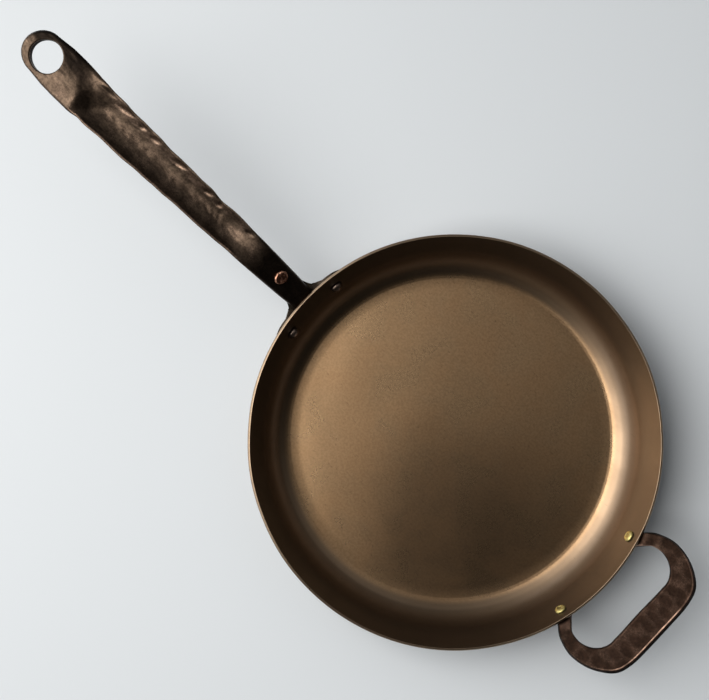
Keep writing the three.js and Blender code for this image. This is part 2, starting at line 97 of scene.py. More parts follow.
SLANT_FROM = 206.0, 226.0
HANDLE_RIVET_REACH = 31.0

# Loop handle and its brass rivets
LOOP_RIVET_HEIGHT = 38.4
LOOP_RIVET_SPACING = 75.5
LOOP_WIDTH, LOOP_REACH = 113.5, 52.0
LOOP_TILT = math.radians(10)
LOOP_DROP = 5.0
LOOP_CORNER = 26.0
KNEE_ASIDE, KNEE_BEYOND = 4.55, 3.2
NECK_ASIDE, NECK_BEYOND = 9.45, 9.7
LEG_LEAN, LEG_BEYOND = 0.8, 17.0
LOOP_THICKNESS, LOOP_GRIP_WIDTH, LOOP_LEG_WIDTH, LOOP_NECK_WIDTH = 5.5, 22.5, 12.5, 9.8
PAD_WIDTH, PAD_THICKNESS, PAD_REACH, PAD_RISE, PAD_LEAN = 14.5, 3.5, 9.0, 3.0, 1.2


def smooth(x, low, high):
    """Rises from 0 at low to 1 at high along 3t^2 - 2t^3."""
    t = np.clip((x - low) / (high - low), 0.0, 1.0)
    return t * t * (3.0 - 2.0 * t)


def fall(x, low, high):
    """Falls from 1 at low to 0 at high, as smooth does the other way."""
    return 1.0 - smooth(x, low, high)


def hill(x, middle, half):
    """A rounded hill of height 1: exp(-d^2), with d the distance from its middle over its half width."""
    return np.exp(-(((x - middle) / half) ** 2))


def mix(a, b, t):
    """The straight line from a at t = 0 to b at t = 1."""
    return a + (b - a) * t


def ripples(points, length, seed):
    """Uneven ground of about unit height: a sum of sines along seeded directions, with seeded lengths and
    phases."""
    rng = np.random.default_rng(seed)
    heading = rng.normal(size=(points.shape[-1], WAVES))
    heading /= np.linalg.norm(heading, axis=0)
    heading *= TURN / (length * rng.uniform(*WAVE_SPREAD, WAVES))
    return np.sin(points @ heading + rng.uniform(0, TURN, WAVES)).sum(-1) * math.sqrt(2 / WAVES)


def quads(rows, columns, tube=False):
    """Corner numbers of the quads of a grid. A tube's grid is closed from its last column to its first."""
    index = np.arange(rows * columns).reshape(rows, columns)
    if tube:
        index = np.hstack([index, index[:, :1]])
    corners = [index[:-1, :-1], index[:-1, 1:], index[1:, 1:], index[1:, :-1]]
    return np.stack(corners, -1).reshape(-1, 4)


def piece(name, points, faces, material, nodes, edge):
    """A closed mesh from points in millimetres: welded where points meet, smooth, facing outwards.
    edge says for each point how much it lies on a worn arris: 1 is bare, and below 0 shade is painted
    in black. On the forged handle and loop it also carries painted light."""
    mesh = bpy.data.meshes.new(name)
    mesh.from_pydata((points.reshape(-1, 3) * MM).tolist(), [], [list(map(int, f)) for f in faces])
    layer = mesh.attributes.new("arris", "FLOAT", "POINT")
    layer.data.foreach_set("value", edge.astype(np.float32).ravel())
    form = bmesh.new()
    form.from_mesh(mesh)
    bmesh.ops.remove_doubles(form, verts=form.verts, dist=WELD)
    bmesh.ops.dissolve_degenerate(form, edges=form.edges, dist=SLIVER)
    bmesh.ops.recalc_face_normals(form, faces=form.faces)
    form.to_mesh(mesh)
    form.free()
    mesh.shade_smooth()
    settle(name, mesh, material, nodes)


def settle(name, mesh, material, nodes):
    """Puts a finished mesh into the scene in place of the CAD nodes that it stands for."""
    mesh.materials.append(material)
    obj = bpy.data.objects.new(name, mesh)
    bpy.context.scene.collection.objects.link(obj)
    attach(obj, "root")
    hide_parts(*nodes)


# Materials: colours in darker and lighter blotches, and heights above the base in metres

FLOOR_BRONZE = (0.39, 0.233, 0.115, 1), (0.46, 0.286, 0.147, 1)
CORNER_BRONZE = (0.2, 0.13, 0.075, 1), (0.23, 0.152, 0.09, 1)
WALL_BROWN = (0.062, 0.042, 0.027, 1), (0.078, 0.054, 0.036, 1)
FLOOR_TO_CORNER, CORNER_TO_WALL = (0.0021, 0.0042), (0.006, 0.028)
FLOOR_GRAIN, PAN_FLECK, BARE_RIM = (0.2, 0.115, 0.055, 1), (0.08, 0.05, 0.025, 1), (0.35, 0.25, 0.165, 1)
# Colours and share of a wide darker patch on the floor and the corner beside the loop handle
DARK_PATCH_FLOOR, DARK_PATCH_CORNER, DARK_PATCH_SHARE = (0.1, 0.056, 0.026, 1), (0.06, 0.039, 0.022, 1), 0.66
PATCH_SHIFT, PATCH_EDGE, PATCH_WANDER, PATCH_CLOUDS = (0.062, -0.05, 0.0), (0.125, 0.02), 0.05, 14.0
# Black for painted shade, and a dark grit
PAINTED_SHADE_BLACK, IRON_GRIT = (0.007, 0.005, 0.004, 1), (0.012, 0.008, 0.006, 1)
IRON_FLECK = (0.02, 0.014, 0.01, 1)
RUBBED_RIDGES = 0.25


def put(tree, kind, feeds=None, **settings):
    """Adds a node, sets it up, and feeds its inputs with values or with other nodes' outputs."""
    made = tree.nodes.new(kind)
    for key, value in settings.items():
        setattr(made, key, value)
    for key, value in (feeds or {}).items():
        if isinstance(value, bpy.types.NodeSocket):
            tree.links.new(value, made.inputs[key])
        else:
            made.inputs[key].default_value = value
    return made


def calc(tree, operation, *values):
    """The result of a sum on numbers or outputs."""
    return put(tree, "ShaderNodeMath", dict(enumerate(values)), operation=operation).outputs[0]


def times(tree, value, share):
    """A share of an output."""
    return calc(tree, "MULTIPLY", value, share)


def ramp(tree, value, low, high, to_low=0.0, to_high=1.0):
    """A smooth step of a value, between two numbers."""
    feeds = {0: value, 1: low, 2: high, 3: to_low, 4: to_high}
    return put(tree, "ShaderNodeMapRange", feeds, interpolation_type="SMOOTHSTEP").outputs[0]


def tint(tree, share, a, b):
    """A colour between two colours, which are the mix's inputs 6 and 7."""
    feeds = {0: share, 6: a, 7: b}
    return put(tree, "ShaderNodeMix", feeds, data_type="RGBA").outputs[2]


def noise(tree, vector, scale, detail=3.0, roughness=0.55, distortion=0.0):
    """Even noise from 0 to 1."""
    feeds = {"Vector": vector, "Scale": scale, "Detail": detail}
    feeds.update({"Roughness": roughness, "Distortion": distortion})
    return put(tree, "ShaderNodeTexNoise", feeds).outputs["Fac"]


def stretched(tree, vector, scale, turn=0.0):
    """Coordinates squeezed along each axis and turned about the vertical."""
    feeds = {"Vector": vector, "Scale": scale, "Rotation": (0.0, 0.0, turn)}
    return put(tree, "ShaderNodeMapping", feeds).outputs[0]


def new_group(name, inputs, outputs):
    """An empty shader node group with named number and vector inputs and number outputs."""
    group = bpy.data.node_groups.new(name, "ShaderNodeTree")
    for title, kind in inputs:
        group.interface.new_socket(title, in_out="INPUT", socket_type=kind)
    for title in outputs:
        group.interface.new_socket(title, in_out="OUTPUT", socket_type="NodeSocketFloat")
    return group, group.nodes.new("NodeGroupInput").outputs, group.nodes.new("NodeGroupOutput").inputs


# Groups: limits of the masks, and how many grains, flecks and breaks there are
BLOTCH_EDGE, FLECK_EDGE, WEAR_EDGE, DENT_RIDGE = (0.34, 0.66), (0.69, 0.76), (0.85, 1.35), (0.42, 0.75)
GRAINS_PER_BLOTCH, FLECKS_PER_BLOTCH, WEAR_BREAKS, DENT_SMOOTHNESS = 22.0, 9.0, 160.0, 0.35
FLECK_SQUEEZE, FLECK_TURN = (1.0, 3.2, 1.0), math.radians(35)


def make_patina():
    """Baked-on finish: soft blotches, fine grain, and short dark flecks, at a scale in features per metre."""
    inputs = [("Vector", "NodeSocketVector"), ("Scale", "NodeSocketFloat")]
    group, given, out = new_group("baked_patina", inputs, ["Blotch", "Grain", "Fleck"])
    vector, scale = given["Vector"], given["Scale"]
    cloud = noise(group, vector, scale, detail=5.0, roughness=0.6, distortion=0.4)
    group.links.new(ramp(group, cloud, *BLOTCH_EDGE), out["Blotch"])
    fine = noise(group, vector, times(group, scale, GRAINS_PER_BLOTCH), detail=2.0)
    group.links.new(fine, out["Grain"])
    slim = stretched(group, vector, FLECK_SQUEEZE, FLECK_TURN)
    specks = noise(group, slim, times(group, scale, FLECKS_PER_BLOTCH), detail=1.0)
    group.links.new(ramp(group, specks, *FLECK_EDGE), out["Fleck"])
    return group


def make_wear():
    """Bare metal along an arris, broken up by noise."""
    inputs = [("Vector", "NodeSocketVector"), ("Arris", "NodeSocketFloat"), ("Reach", "NodeSocketFloat")]
    group, given, out = new_group("arris_wear", inputs, ["Wear"])
    broken = noise(group, given["Vector"], WEAR_BREAKS, detail=4.0, roughness=0.65)
    worn = calc(group, "ADD", given["Arris"], calc(group, "MULTIPLY", broken, given["Reach"]))
    group.links.new(ramp(group, worn, *WEAR_EDGE), out["Wear"])
    return group


def make_hammer():
    """Hammer marks: rounded dents of uneven size, as a height and as a mask of their raised borders."""
    inputs = [("Vector", "NodeSocketVector"), ("Scale", "NodeSocketFloat")]
    group, given, out = new_group("hammer_marks", inputs, ["Height", "Ridge"])
    feeds = {"Vector": given["Vector"], "Scale": given["Scale"], "Smoothness": DENT_SMOOTHNESS}
    cells = put(group, "ShaderNodeTexVoronoi", feeds, feature="SMOOTH_F1")
    group.links.new(cells.outputs["Distance"], out["Height"])
    group.links.new(ramp(group, cells.outputs["Distance"], *DENT_RIDGE), out["Ridge"])
    return group


PATINA, WEAR, HAMMER = make_patina(), make_wear(), make_hammer()


def feed_group(tree, group, feeds):
    """Places a node group, feeds its inputs by name and gives its outputs."""
    return put(tree, "ShaderNodeGroup", feeds, node_tree=group).outputs


def metal(name, coat=0.0, coat_roughness=0.3):
    """A bare metal material: its tree, its shader and its object coordinates."""
    material = bpy.data.materials.new(name)
    material.use_nodes = True
    tree = material.node_tree
    shader = tree.nodes["Principled BSDF"]
    shader.inputs["Metallic"].default_value = 1.0
    shader.inputs["Coat Weight"].default_value = coat
    shader.inputs["Coat Roughness"].default_value = coat_roughness
    return material, tree, shader, put(tree, "ShaderNodeTexCoord").outputs["Object"]


def finish_metal(tree, shader, color, roughness, height, strength, distance):
    """Feeds the shader's colour and roughness, and its normal from a height in metres."""
    tree.links.new(color, shader.inputs["Base Color"])
    tree.links.new(roughness, shader.inputs["Roughness"])
    feeds = {"Height": height, "Strength": strength, "Distance": distance}
    tree.links.new(put(tree, "ShaderNodeBump", feeds).outputs[0], shader.inputs["Normal"])


def arris_of(tree):
    """How far a point lies on a worn arris."""
    return put(tree, "ShaderNodeAttribute", attribute_name="arris").outputs["Fac"]


def dark_patch(tree, place):
    """A wide darker patch beside the loop handle: an oval with a blurred edge."""
    feeds = {0: place, 1: PATCH_SHIFT}
    moved = put(tree, "ShaderNodeVectorMath", feeds, operation="ADD").outputs[0]
    away = put(tree, "ShaderNodeVectorMath", {0: moved}, operation="LENGTH").outputs["Value"]
    wander = calc(tree, "MULTIPLY_ADD", noise(tree, place, PATCH_CLOUDS), PATCH_WANDER, -PATCH_WANDER / 2)
    return ramp(tree, calc(tree, "ADD", away, wander), *PATCH_EDGE)


# Pan iron: features per metre, shares, and steps as low, high and the values there
PAN_BLOTCHES, PAN_RINGS, RIM_REACH = 26.0, 900.0, 0.5
FLOOR_GRAINY, PAN_FLECK_SHARE, BARE_RIM_SHARE = (0.68, 0.32, 0.0, 0.3), 0.3, 0.85
PAN_ROUGHNESS, GRAIN_ROUGHER, BLOTCH_ROUGHER, RIM_ROUGHER = 0.3, 0.02, -0.04, -0.2
WALL_ROUGHER, WALL_COAT = (0.0026, 0.009, 0.0, 0.2), (0.003, 0.01, 0.3, 0.75)
GRAIN_RELIEF, RING_RELIEF, FLECK_RELIEF, RELIEF_FADE = 0.06, 0.25, 0.12, (0.1, 0.113, 1.0, 0.08)


def make_pan_iron():
    """Spun iron with a baked oil finish: bronze brown, darker up the wall, blotched, flecked, with faint
    turning marks. The coat grows up the corner, and the rubbed rim has none."""
    material, tree, shader, place = metal("pan_iron")
    patina = feed_group(tree, PATINA, {"Vector": place, "Scale": PAN_BLOTCHES})
    wear = feed_group(tree, WEAR, {"Vector": place, "Arris": arris_of(tree), "Reach": RIM_REACH})
    height = put(tree, "ShaderNodeSeparateXYZ", {0: place}).outputs["Z"]
    flat = put(tree, "ShaderNodeVectorMath", {0: place, 1: (1.0, 1.0, 0.0)}, operation="MULTIPLY")
    radius = put(tree, "ShaderNodeVectorMath", {0: flat.outputs[0]}, operation="LENGTH").outputs["Value"]
    # The darker patch beside the loop handle, on the floor and the corner
    baked = times(tree, dark_patch(tree, place), DARK_PATCH_SHARE)
    grainy = ramp(tree, patina["Grain"], *FLOOR_GRAINY)
    floor = tint(tree, grainy, tint(tree, patina["Blotch"], *FLOOR_BRONZE), FLOOR_GRAIN)
    floor = tint(tree, baked, floor, DARK_PATCH_FLOOR)
    corner = tint(tree, baked, tint(tree, patina["Blotch"], *CORNER_BRONZE), DARK_PATCH_CORNER)
    wall = tint(tree, patina["Blotch"], *WALL_BROWN)
    color = tint(tree, ramp(tree, height, *FLOOR_TO_CORNER), floor, corner)
    color = tint(tree, ramp(tree, height, *CORNER_TO_WALL), color, wall)
    color = tint(tree, times(tree, patina["Fleck"], PAN_FLECK_SHARE), color, PAN_FLECK)
    color = tint(tree, times(tree, wear["Wear"], BARE_RIM_SHARE), color, BARE_RIM)
    grain = calc(tree, "MULTIPLY_ADD", patina["Grain"], GRAIN_ROUGHER, PAN_ROUGHNESS)
    roughness = calc(tree, "MULTIPLY_ADD", patina["Blotch"], BLOTCH_ROUGHER, grain)
    roughness = calc(tree, "ADD", roughness, ramp(tree, height, *WALL_ROUGHER))
    roughness = calc(tree, "MULTIPLY_ADD", wear["Wear"], RIM_ROUGHER, roughness)
    coat = ramp(tree, height, *WALL_COAT)
    coat = times(tree, coat, calc(tree, "SUBTRACT", 1.0, wear["Wear"]))
    tree.links.new(coat, shader.inputs["Coat Weight"])
    feeds = {"W": radius, "Scale": PAN_RINGS, "Detail": 3.0}
    rings = put(tree, "ShaderNodeTexNoise", feeds, noise_dimensions="1D").outputs["Fac"]
    grain = times(tree, patina["Grain"], GRAIN_RELIEF)
    relief = calc(tree, "ADD", grain, times(tree, rings, RING_RELIEF))
    relief = calc(tree, "SUBTRACT", relief, times(tree, patina["Fleck"], FLECK_RELIEF))
    relief = times(tree, relief, ramp(tree, radius, *RELIEF_FADE))
    finish_metal(tree, shader, color, roughness, relief, strength=0.2, distance=0.0002)
    return material


# Forged iron
# Wear reach, dent stretch, ridge grain, and the limits of the black painted shade below arris 0
FORGED_REACH, DENT_STRETCH, RIDGE_GRAIN, PAINTED_SHADE_EDGE = 0.6, (0.7, 1.0, 1.0), (0.4, 0.7), (0.0, -0.8)
IRON_FLECK_SHARE, GRITS, GRIT_SHADE = 0.5, 620.0, (0.62, 0.36, 0.0, 0.42)
SCALE_ROUGHER, BARE_ROUGHER, GRIT_RELIEF, PIT_RELIEF = 0.18, -0.12, 0.9, 0.4


def make_forged_iron(name, dark, light, bare, scale, dents, rough):
    """Forged iron: dark scale and lighter rubbed patches, hammer marks, pits, and bare metal on the arrises.
    Where the arris value is below zero, shade is painted in black."""
    material, tree, shader, place = metal(name, coat=0.05, coat_roughness=0.4)
    patina = feed_group(tree, PATINA, {"Vector": place, "Scale": scale})
    arris = arris_of(tree)
    wear = feed_group(tree, WEAR, {"Vector": place, "Arris": arris, "Reach": FORGED_REACH})
    long_way = stretched(tree, place, DENT_STRETCH)
    hammer = feed_group(tree, HAMMER, {"Vector": long_way, "Scale": dents})
    color = tint(tree, patina["Blotch"], dark, light)
    rubbed = times(tree, hammer["Ridge"], ramp(tree, patina["Grain"], *RIDGE_GRAIN))
    color = tint(tree, times(tree, rubbed, RUBBED_RIDGES), color, bare)
    color = tint(tree, wear["Wear"], color, bare)
    # Painted shade: black where the arris value is below zero
    color = tint(tree, ramp(tree, arris, *PAINTED_SHADE_EDGE), color, PAINTED_SHADE_BLACK)
    color = tint(tree, times(tree, patina["Fleck"], IRON_FLECK_SHARE), color, IRON_FLECK)
    grit = noise(tree, place, GRITS, detail=4.0, roughness=0.65)
    color = tint(tree, ramp(tree, grit, *GRIT_SHADE), color, IRON_GRIT)
    roughness = calc(tree, "MULTIPLY_ADD", patina["Grain"], SCALE_ROUGHER, rough)
    roughness = calc(tree, "MULTIPLY_ADD", wear["Wear"], BARE_ROUGHER, roughness)
    height = calc(tree, "MULTIPLY_ADD", grit, GRIT_RELIEF, hammer["Height"])
    height = calc(tree, "SUBTRACT", height, times(tree, patina["Fleck"], PIT_RELIEF))
    finish_metal(tree, shader, color, roughness, height, strength=0.22, distance=0.0005)
    return material


# Rivet metal
RIVET_BLOTCHES, RUBBED_GRAIN, DULL_SHARE, RIVET_ROUGHER = 320.0, (0.2, 0.5), 0.35, 0.2


def make_rivet_metal(name, dull, bright, rough, dents):
    """Rivet metal: bright where it is rubbed, dull in its dents."""
    material, tree, shader, place = metal(name)
    patina = feed_group(tree, PATINA, {"Vector": place, "Scale": RIVET_BLOTCHES})
    hammer = feed_group(tree, HAMMER, {"Vector": place, "Scale": dents})
    rubbed = times(tree, arris_of(tree), ramp(tree, patina["Grain"], *RUBBED_GRAIN))
    color = tint(tree, rubbed, dull, bright)
    color = tint(tree, times(tree, patina["Blotch"], DULL_SHARE), color, dull)
    roughness = calc(tree, "MULTIPLY_ADD", patina["Grain"], RIVET_ROUGHER, rough)
    finish_metal(tree, shader, color, roughness, hammer["Height"], strength=0.3, distance=0.0004)
    return material


PAN_IRON = make_pan_iron()
HANDLE_IRON = make_forged_iron(
    "handle_iron",
    dark=(0.066, 0.0445, 0.0305, 1), light=(0.11, 0.0755, 0.0515, 1), bare=(0.42, 0.28, 0.2, 1),
    scale=110.0, dents=150.0, rough=0.31,
)
LOOP_IRON = make_forged_iron(
    "loop_iron",
    dark=(0.035, 0.019, 0.0122, 1), light=(0.056, 0.03, 0.0195, 1), bare=(0.5, 0.31, 0.22, 1),
    scale=150.0, dents=150.0, rough=0.42,
)
BRACKET_STEEL = make_forged_iron(
    "bracket_steel",
    dark=(0.036, 0.027, 0.019, 1), light=(0.064, 0.048, 0.034, 1), bare=(0.36, 0.3, 0.25, 1),
    scale=90.0, dents=160.0, rough=0.46,
)
RIVET_STEEL = make_rivet_metal(
    "rivet_steel", dull=(0.06, 0.042, 0.032, 1), bright=(0.62, 0.46, 0.37, 1), rough=0.2, dents=260.0
)
RIVET_BRASS = make_rivet_metal(
    "rivet_brass", dull=(0.3, 0.25, 0.1, 1), bright=(0.66, 0.56, 0.22, 1), rough=0.42, dents=420.0
)
RIVET_COPPER = make_rivet_metal(
    "rivet_copper", dull=(0.11, 0.046, 0.028, 1), bright=(0.72, 0.38, 0.25, 1), rough=0.3, dents=320.0
)


# Pan


def wall_radius(height):
    """Radius of the outside of the straight wall at a height."""
    return RIM_RADIUS - (PAN_HEIGHT - height) * math.tan(LEAN)


def corner_arc(lean, outwards, fillet, level, steps, fillet_steps):
    """The corner from the level floor to a wall of some lean: a small fillet, then an arc. The arc leaves
    the floor's edge at the crease's slope and ends along the wall, whose straight part below the rim has
    the length that lets both meet: two equations, across and upwards, for the arc's radius and that length.
    The fillet meets the arc where cos(angle) = (rise of the middle - fillet) / (arc radius - fillet)."""
    wall = math.pi / 2 - lean
    across = RIM_RADIUS - SHEET / math.cos(lean) - FLOOR_RADIUS
    sideways = [math.sin(wall) - math.sin(CREASE), math.sin(lean)]
    upwards = [math.cos(CREASE) - math.cos(wall), math.cos(lean)]
    arc, _ = np.linalg.solve([sideways, upwards], [across, PAN_HEIGHT - SHEET])
    middle_r, middle_z = FLOOR_RADIUS - arc * math.sin(CREASE), SHEET + arc * math.cos(CREASE)
    radius = arc + outwards
    meet = math.acos((middle_z - level - fillet) / (radius - fillet))
    small = np.linspace(0.0, meet, fillet_steps, endpoint=False)
    large = np.linspace(meet, wall, steps)
    foot = middle_r + (radius - fillet) * math.sin(meet)
    r = np.concatenate([foot + fillet * np.sin(small), middle_r + radius * np.sin(large)])
    z = np.concatenate([level + fillet * (1 - np.cos(small)), middle_z - radius * np.cos(large)])
    return np.stack([r, z], -1)


def edge_rise(r):
    """How far the floor turns up towards its edge: a parabola up to the crease, dying out up the corner."""
    reach = np.clip(r, EDGE_START, FLOOR_RADIUS) - EDGE_START
    return EDGE_RISE * reach ** 2 * fall(r - FLOOR_RADIUS, *EDGE_FADE)


def rim_profile():
    """The rim's outline, from the outside over the top: a curve given by its radius at each direction that
    it faces. The radius is small, apart from a peak at the facing of a filed slope on the outside."""
    turn = np.linspace(-LEAN, math.pi - LEAN, RIM_STEPS)
    peak = RIM_SLOPE_LENGTH / RIM_SLOPE_SPREAD / math.sqrt(math.pi)
    radius = RIM_ROUND + peak * hill(turn, RIM_SLOPE_FACING, RIM_SLOPE_SPREAD)
    step = (radius[1:] + radius[:-1]) / 2 * np.diff(turn)
    middle = (turn[1:] + turn[:-1]) / 2
    r = np.concatenate([[0.0], np.cumsum(-step * np.sin(middle))])
    z = np.concatenate([[0.0], np.cumsum(step * np.cos(middle))])
    start = PAN_HEIGHT - z.max()
    return turn, np.stack([wall_radius(start) + r, start + z], -1)


def pan_profile():
    """Half outline of the pan, from the middle of the base round the rim to the middle of the floor,
    and how much each point lies on the rim's arris."""
    under = corner_arc(LEAN, SHEET, CREASE_FILLET + SHEET, 0.0, *UNDER_STEPS)
    inside = corner_arc(INNER_LEAN, 0.0, CREASE_FILLET, SHEET, *INSIDE_STEPS)[::-1]
    base = np.linspace(0.0, under[0, 0], BASE_STEPS, endpoint=False)
    base = np.stack([base, np.zeros(BASE_STEPS)], -1)
    turn, rim = rim_profile()
    rise = np.linspace(0.0, 1.0, WALL_STEPS, endpoint=False)[1:, None]
    outer = mix(under[-1], rim[0], rise)
    inner = mix(rim[-1], inside[0], rise)
    floor_edge = np.linspace(inside[-1, 0], CALM_RADIUS, FLOOR_EDGE_STEPS)
    spread = np.concatenate([floor_edge, np.linspace(CALM_RADIUS, 0.0, CALM_STEPS)[1:]])[1:]
    floor = np.stack([spread, np.full(len(spread), SHEET)], -1)
    groove = GROOVE_DEPTH * hill(inside[:, 0], FLOOR_RADIUS + GROOVE_OUT, GROOVE_HALF)
    inside[:, 1] += edge_rise(inside[:, 0]) - groove
    floor[:, 1] += edge_rise(floor[:, 0])
    outline = np.concatenate([base, under, outer, rim, inner, inside, floor])
    arris = np.zeros(len(outline))
    start = len(base) + len(under) + len(outer)
    arris[start:start + len(rim)] = smooth(turn, *RIM_RUB_START) * fall(turn, *RIM_RUB_END)
    return outline, arris


def make_pan():
    """The pan: its outline turned about the vertical, with the floor and walls a little uneven."""
    outline, arris = pan_profile()
    angle = np.arange(PAN_SECTORS) * TURN / PAN_SECTORS
    r, z = outline[:, 0][:, None], outline[:, 1][:, None]
    x, y = r * np.cos(angle), r * np.sin(angle)
    points = np.stack([x, y, z + 0 * x], -1)
    uneven = ripples(points, UNEVEN_LENGTH, seed=3) * smooth(r, *UNEVEN_FROM)
    on_floor = fall(r, *FLOOR_EVENS_OUT) * (z > SHEET / 2)
    points[..., 2] += FLOOR_UNEVEN * uneven * on_floor
    outwards = WALL_UNEVEN * uneven * smooth(z, *WALL_UNEVEN_FROM)
    points[..., 0] += outwards * np.cos(angle)
    points[..., 1] += outwards * np.sin(angle)
    faces = quads(len(outline), PAN_SECTORS, tube=True)
    edge = np.repeat(arris[:, None], PAN_SECTORS, 1)
    piece("pan", points, faces, PAN_IRON, ["pan_body"], edge)


# Rivets: sizes of the shank, the head, the head's rise, the tail and the tail's rise

STEEL_SIZES = (5.0, 9.6, 4.9, 9.0, 2.2)
BRASS_SIZES = (4.5, 8.6, 2.0, 7.6, 1.8)
COPPER_SIZES = (5.0, 10.0, 1.8, 8.4, 1.8)
COPPER_OVAL, COPPER_BEATEN = (0.92, 1.12), 0.12
BRASS_TIPPED = 0.2
RIVET_SECTORS, HEAD_STEPS, TAIL_STEPS = 72, 26, 14
TAIL_RUB, DENT_RUB = 0.6, 3.0
BEATEN_LENGTH, BEATEN_FROM = 2.6, (0.05, 0.6)
SPREAD_SHARE, SPREAD_LENGTH, SPREAD_FROM = 0.25, 4.0, (2.6, 3.4)
DOME_DULLS = 0.6
BUTTON_EDGE, DIMPLE_DEPTH, DIMPLE_WALL, DIMPLE_DULL, DIMPLE_BORDER = 4, 0.14, (0.3, 0.46), 0.25, (0.34, 0.5)
FLAT_EDGE, FLAT_SUNK, FLAT_RISES, FLAT_DULL, FLAT_RIM = 6, 0.74, (0.35, 0.82), 0.05, (0.66, 0.9)


def wall_seat(spacing, height, side, turn):
    """Origin and axes of a rivet's seat on the outside of the wall, with the third axis out of the wall."""
    radius = wall_radius(height)
    around = side * math.asin(spacing / 2 / radius) + turn
    c, s = math.cos(around), math.sin(around)
    out = np.array([c * math.cos(LEAN), s * math.cos(LEAN), -math.sin(LEAN)])
    across = np.array([-s, c, 0.0])
    return np.array([radius * c, radius * s, height]), np.stack([across, np.cross(out, across), out])


def make_rivet(
    name, node, material, seat, sizes, grip, head_form, seed, oval=(1.0, 1.0), beaten=0.05, tipped=0.0
):
    """A rivet turned about its seat's axis: head, shank and tail. The head's height over its radius is
    given by head_form, its outline may be oval, its top may be tipped towards the second axis by a share
    of its height, and both ends are a little uneven from the hammer."""
    shank, head, head_rise, tail, tail_rise = sizes
    share = np.linspace(0.0, 1.0, HEAD_STEPS)
    lift, arris = head_form(share)
    top = np.stack([share * head / 2, -head_rise * lift], -1)
    stem = np.array([[shank / 2, 0.0], [shank / 2, grip]])
    bow = np.linspace(math.pi / 2, 0.0, TAIL_STEPS)
    bottom = np.stack([tail / 2 * np.sin(bow), grip + tail_rise * np.cos(bow)], -1)
    outline = np.concatenate([top, stem, bottom])
    angle = np.arange(RIVET_SECTORS) * TURN / RIVET_SECTORS
    r = outline[:, 0][:, None] * np.ones(RIVET_SECTORS)
    z = outline[:, 1][:, None] * np.ones(RIVET_SECTORS)
    local = np.stack([r * np.cos(angle), r * np.sin(angle), z], -1)
    rough = ripples(local, BEATEN_LENGTH, seed)
    on_face = smooth(np.abs(z - grip / 2), *(grip / 2 + past for past in BEATEN_FROM))
    local[..., 2] += beaten * rough * on_face
    spread = SPREAD_SHARE * beaten * ripples(local, SPREAD_LENGTH, seed + 1) * smooth(r, *SPREAD_FROM)
    local[..., :2] *= 1.0 + spread[..., None]
    is_head = (np.arange(len(outline)) < len(share))[:, None, None]
    local[..., :2] *= np.where(is_head, np.array(oval), 1.0)
    local[..., 2] *= np.where(is_head[..., 0], 1.0 - tipped * local[..., 1] / (head / 2), 1.0)
    origin, axes = seat
    points = origin + local @ axes
    edge = np.concatenate([arris, np.zeros(2), np.full(len(bow), TAIL_RUB)])
    edge = np.clip(edge[:, None] + DENT_RUB * beaten * rough * on_face, 0.0, 1.0)
    faces = quads(len(outline), RIVET_SECTORS, tube=True)
    piece(name, points, faces, material, [node], edge)


def round_head(share):
    """A half-round head, rubbed brightest near its top."""
    return np.sqrt(1.0 - share ** 2), 1.0 - DOME_DULLS * share


def dimpled_head(share):
    """A button with a rounded edge and a shallow round dimple in the middle, dull inside its border."""
    lift = (1.0 - share ** BUTTON_EDGE) ** 0.5 - DIMPLE_DEPTH * fall(share, *DIMPLE_WALL)
    return lift, mix(DIMPLE_DULL, 1.0, smooth(share, *DIMPLE_BORDER))


def hammered_head(share):
    """A flat beaten head with a rounded edge, rubbed bright at its rim and sunk a little in the middle."""
    lift = (1.0 - share ** FLAT_EDGE) ** 0.5 * mix(FLAT_SUNK, 1.0, smooth(share, *FLAT_RISES))
    return lift, mix(FLAT_DULL, 1.0, smooth(share, *FLAT_RIM))


def sunk(seat, depth):
    """A seat moved along its third axis."""
    return seat[0] + seat[1][2] * depth, seat[1]


def make_wall_pair(stem, form, material, sizes, sheet, head_form, place, turn, tipped=0.0):
    """A left and a right rivet through the wall and a sheet on its outside, at a spacing and a height. Their
    heads sit on the inside of the wall."""
    spacing, height = place
    inward = (PAN_HEIGHT - height) * (math.tan(INNER_LEAN) - math.tan(LEAN))
    grip = SHEET + sheet + 3 * GAP + inward
    for side, word, seed in ((1, "left", 11), (-1, "right", 12)):
        seat = sunk(wall_seat(spacing, height, side, turn), -SHEET - GAP - inward)
        name = stem + word
        make_rivet(name + form, name, material, seat, sizes, grip, head_form, seed, tipped=tipped)


def make_wall_rivets():
    """Steel rivets through the bracket's wings, and brass ones through the loop's pads."""
    make_wall_pair(
        "bracket_rivet_", "_dome", RIVET_STEEL, STEEL_SIZES, BRACKET_SHEET, round_head,
        (BRACKET_RIVET_SPACING, BRACKET_RIVET_HEIGHT), turn=0.0,
    )
    make_wall_pair(
        "loop_rivet_", "_button", RIVET_BRASS, BRASS_SIZES, PAD_THICKNESS, dimpled_head,
        (LOOP_RIVET_SPACING, LOOP_RIVET_HEIGHT), turn=math.pi, tipped=BRASS_TIPPED,
    )


# Long handle


def handle_slope(s):
    """Slope of the bar in radians: steep on the bracket, flatter along the grip, flattest at the eye."""
    bend = smooth(s, ROOT_LENGTH, ROOT_LENGTH + BEND_LENGTH)
    nod = smooth(s, EYE_START - BEND_LENGTH, TIP_AT)
    slope = mix(ROOT_SLOPE, GRIP_SLOPE, bend)
    return np.radians(mix(slope, EYE_SLOPE, nod))


LINE_STEP, LINE_BEFORE, LINE_PAST = 0.25, 15.0, 3.0
LINE_S = np.arange(-LINE_BEFORE, HANDLE_LENGTH + LINE_PAST, LINE_STEP)


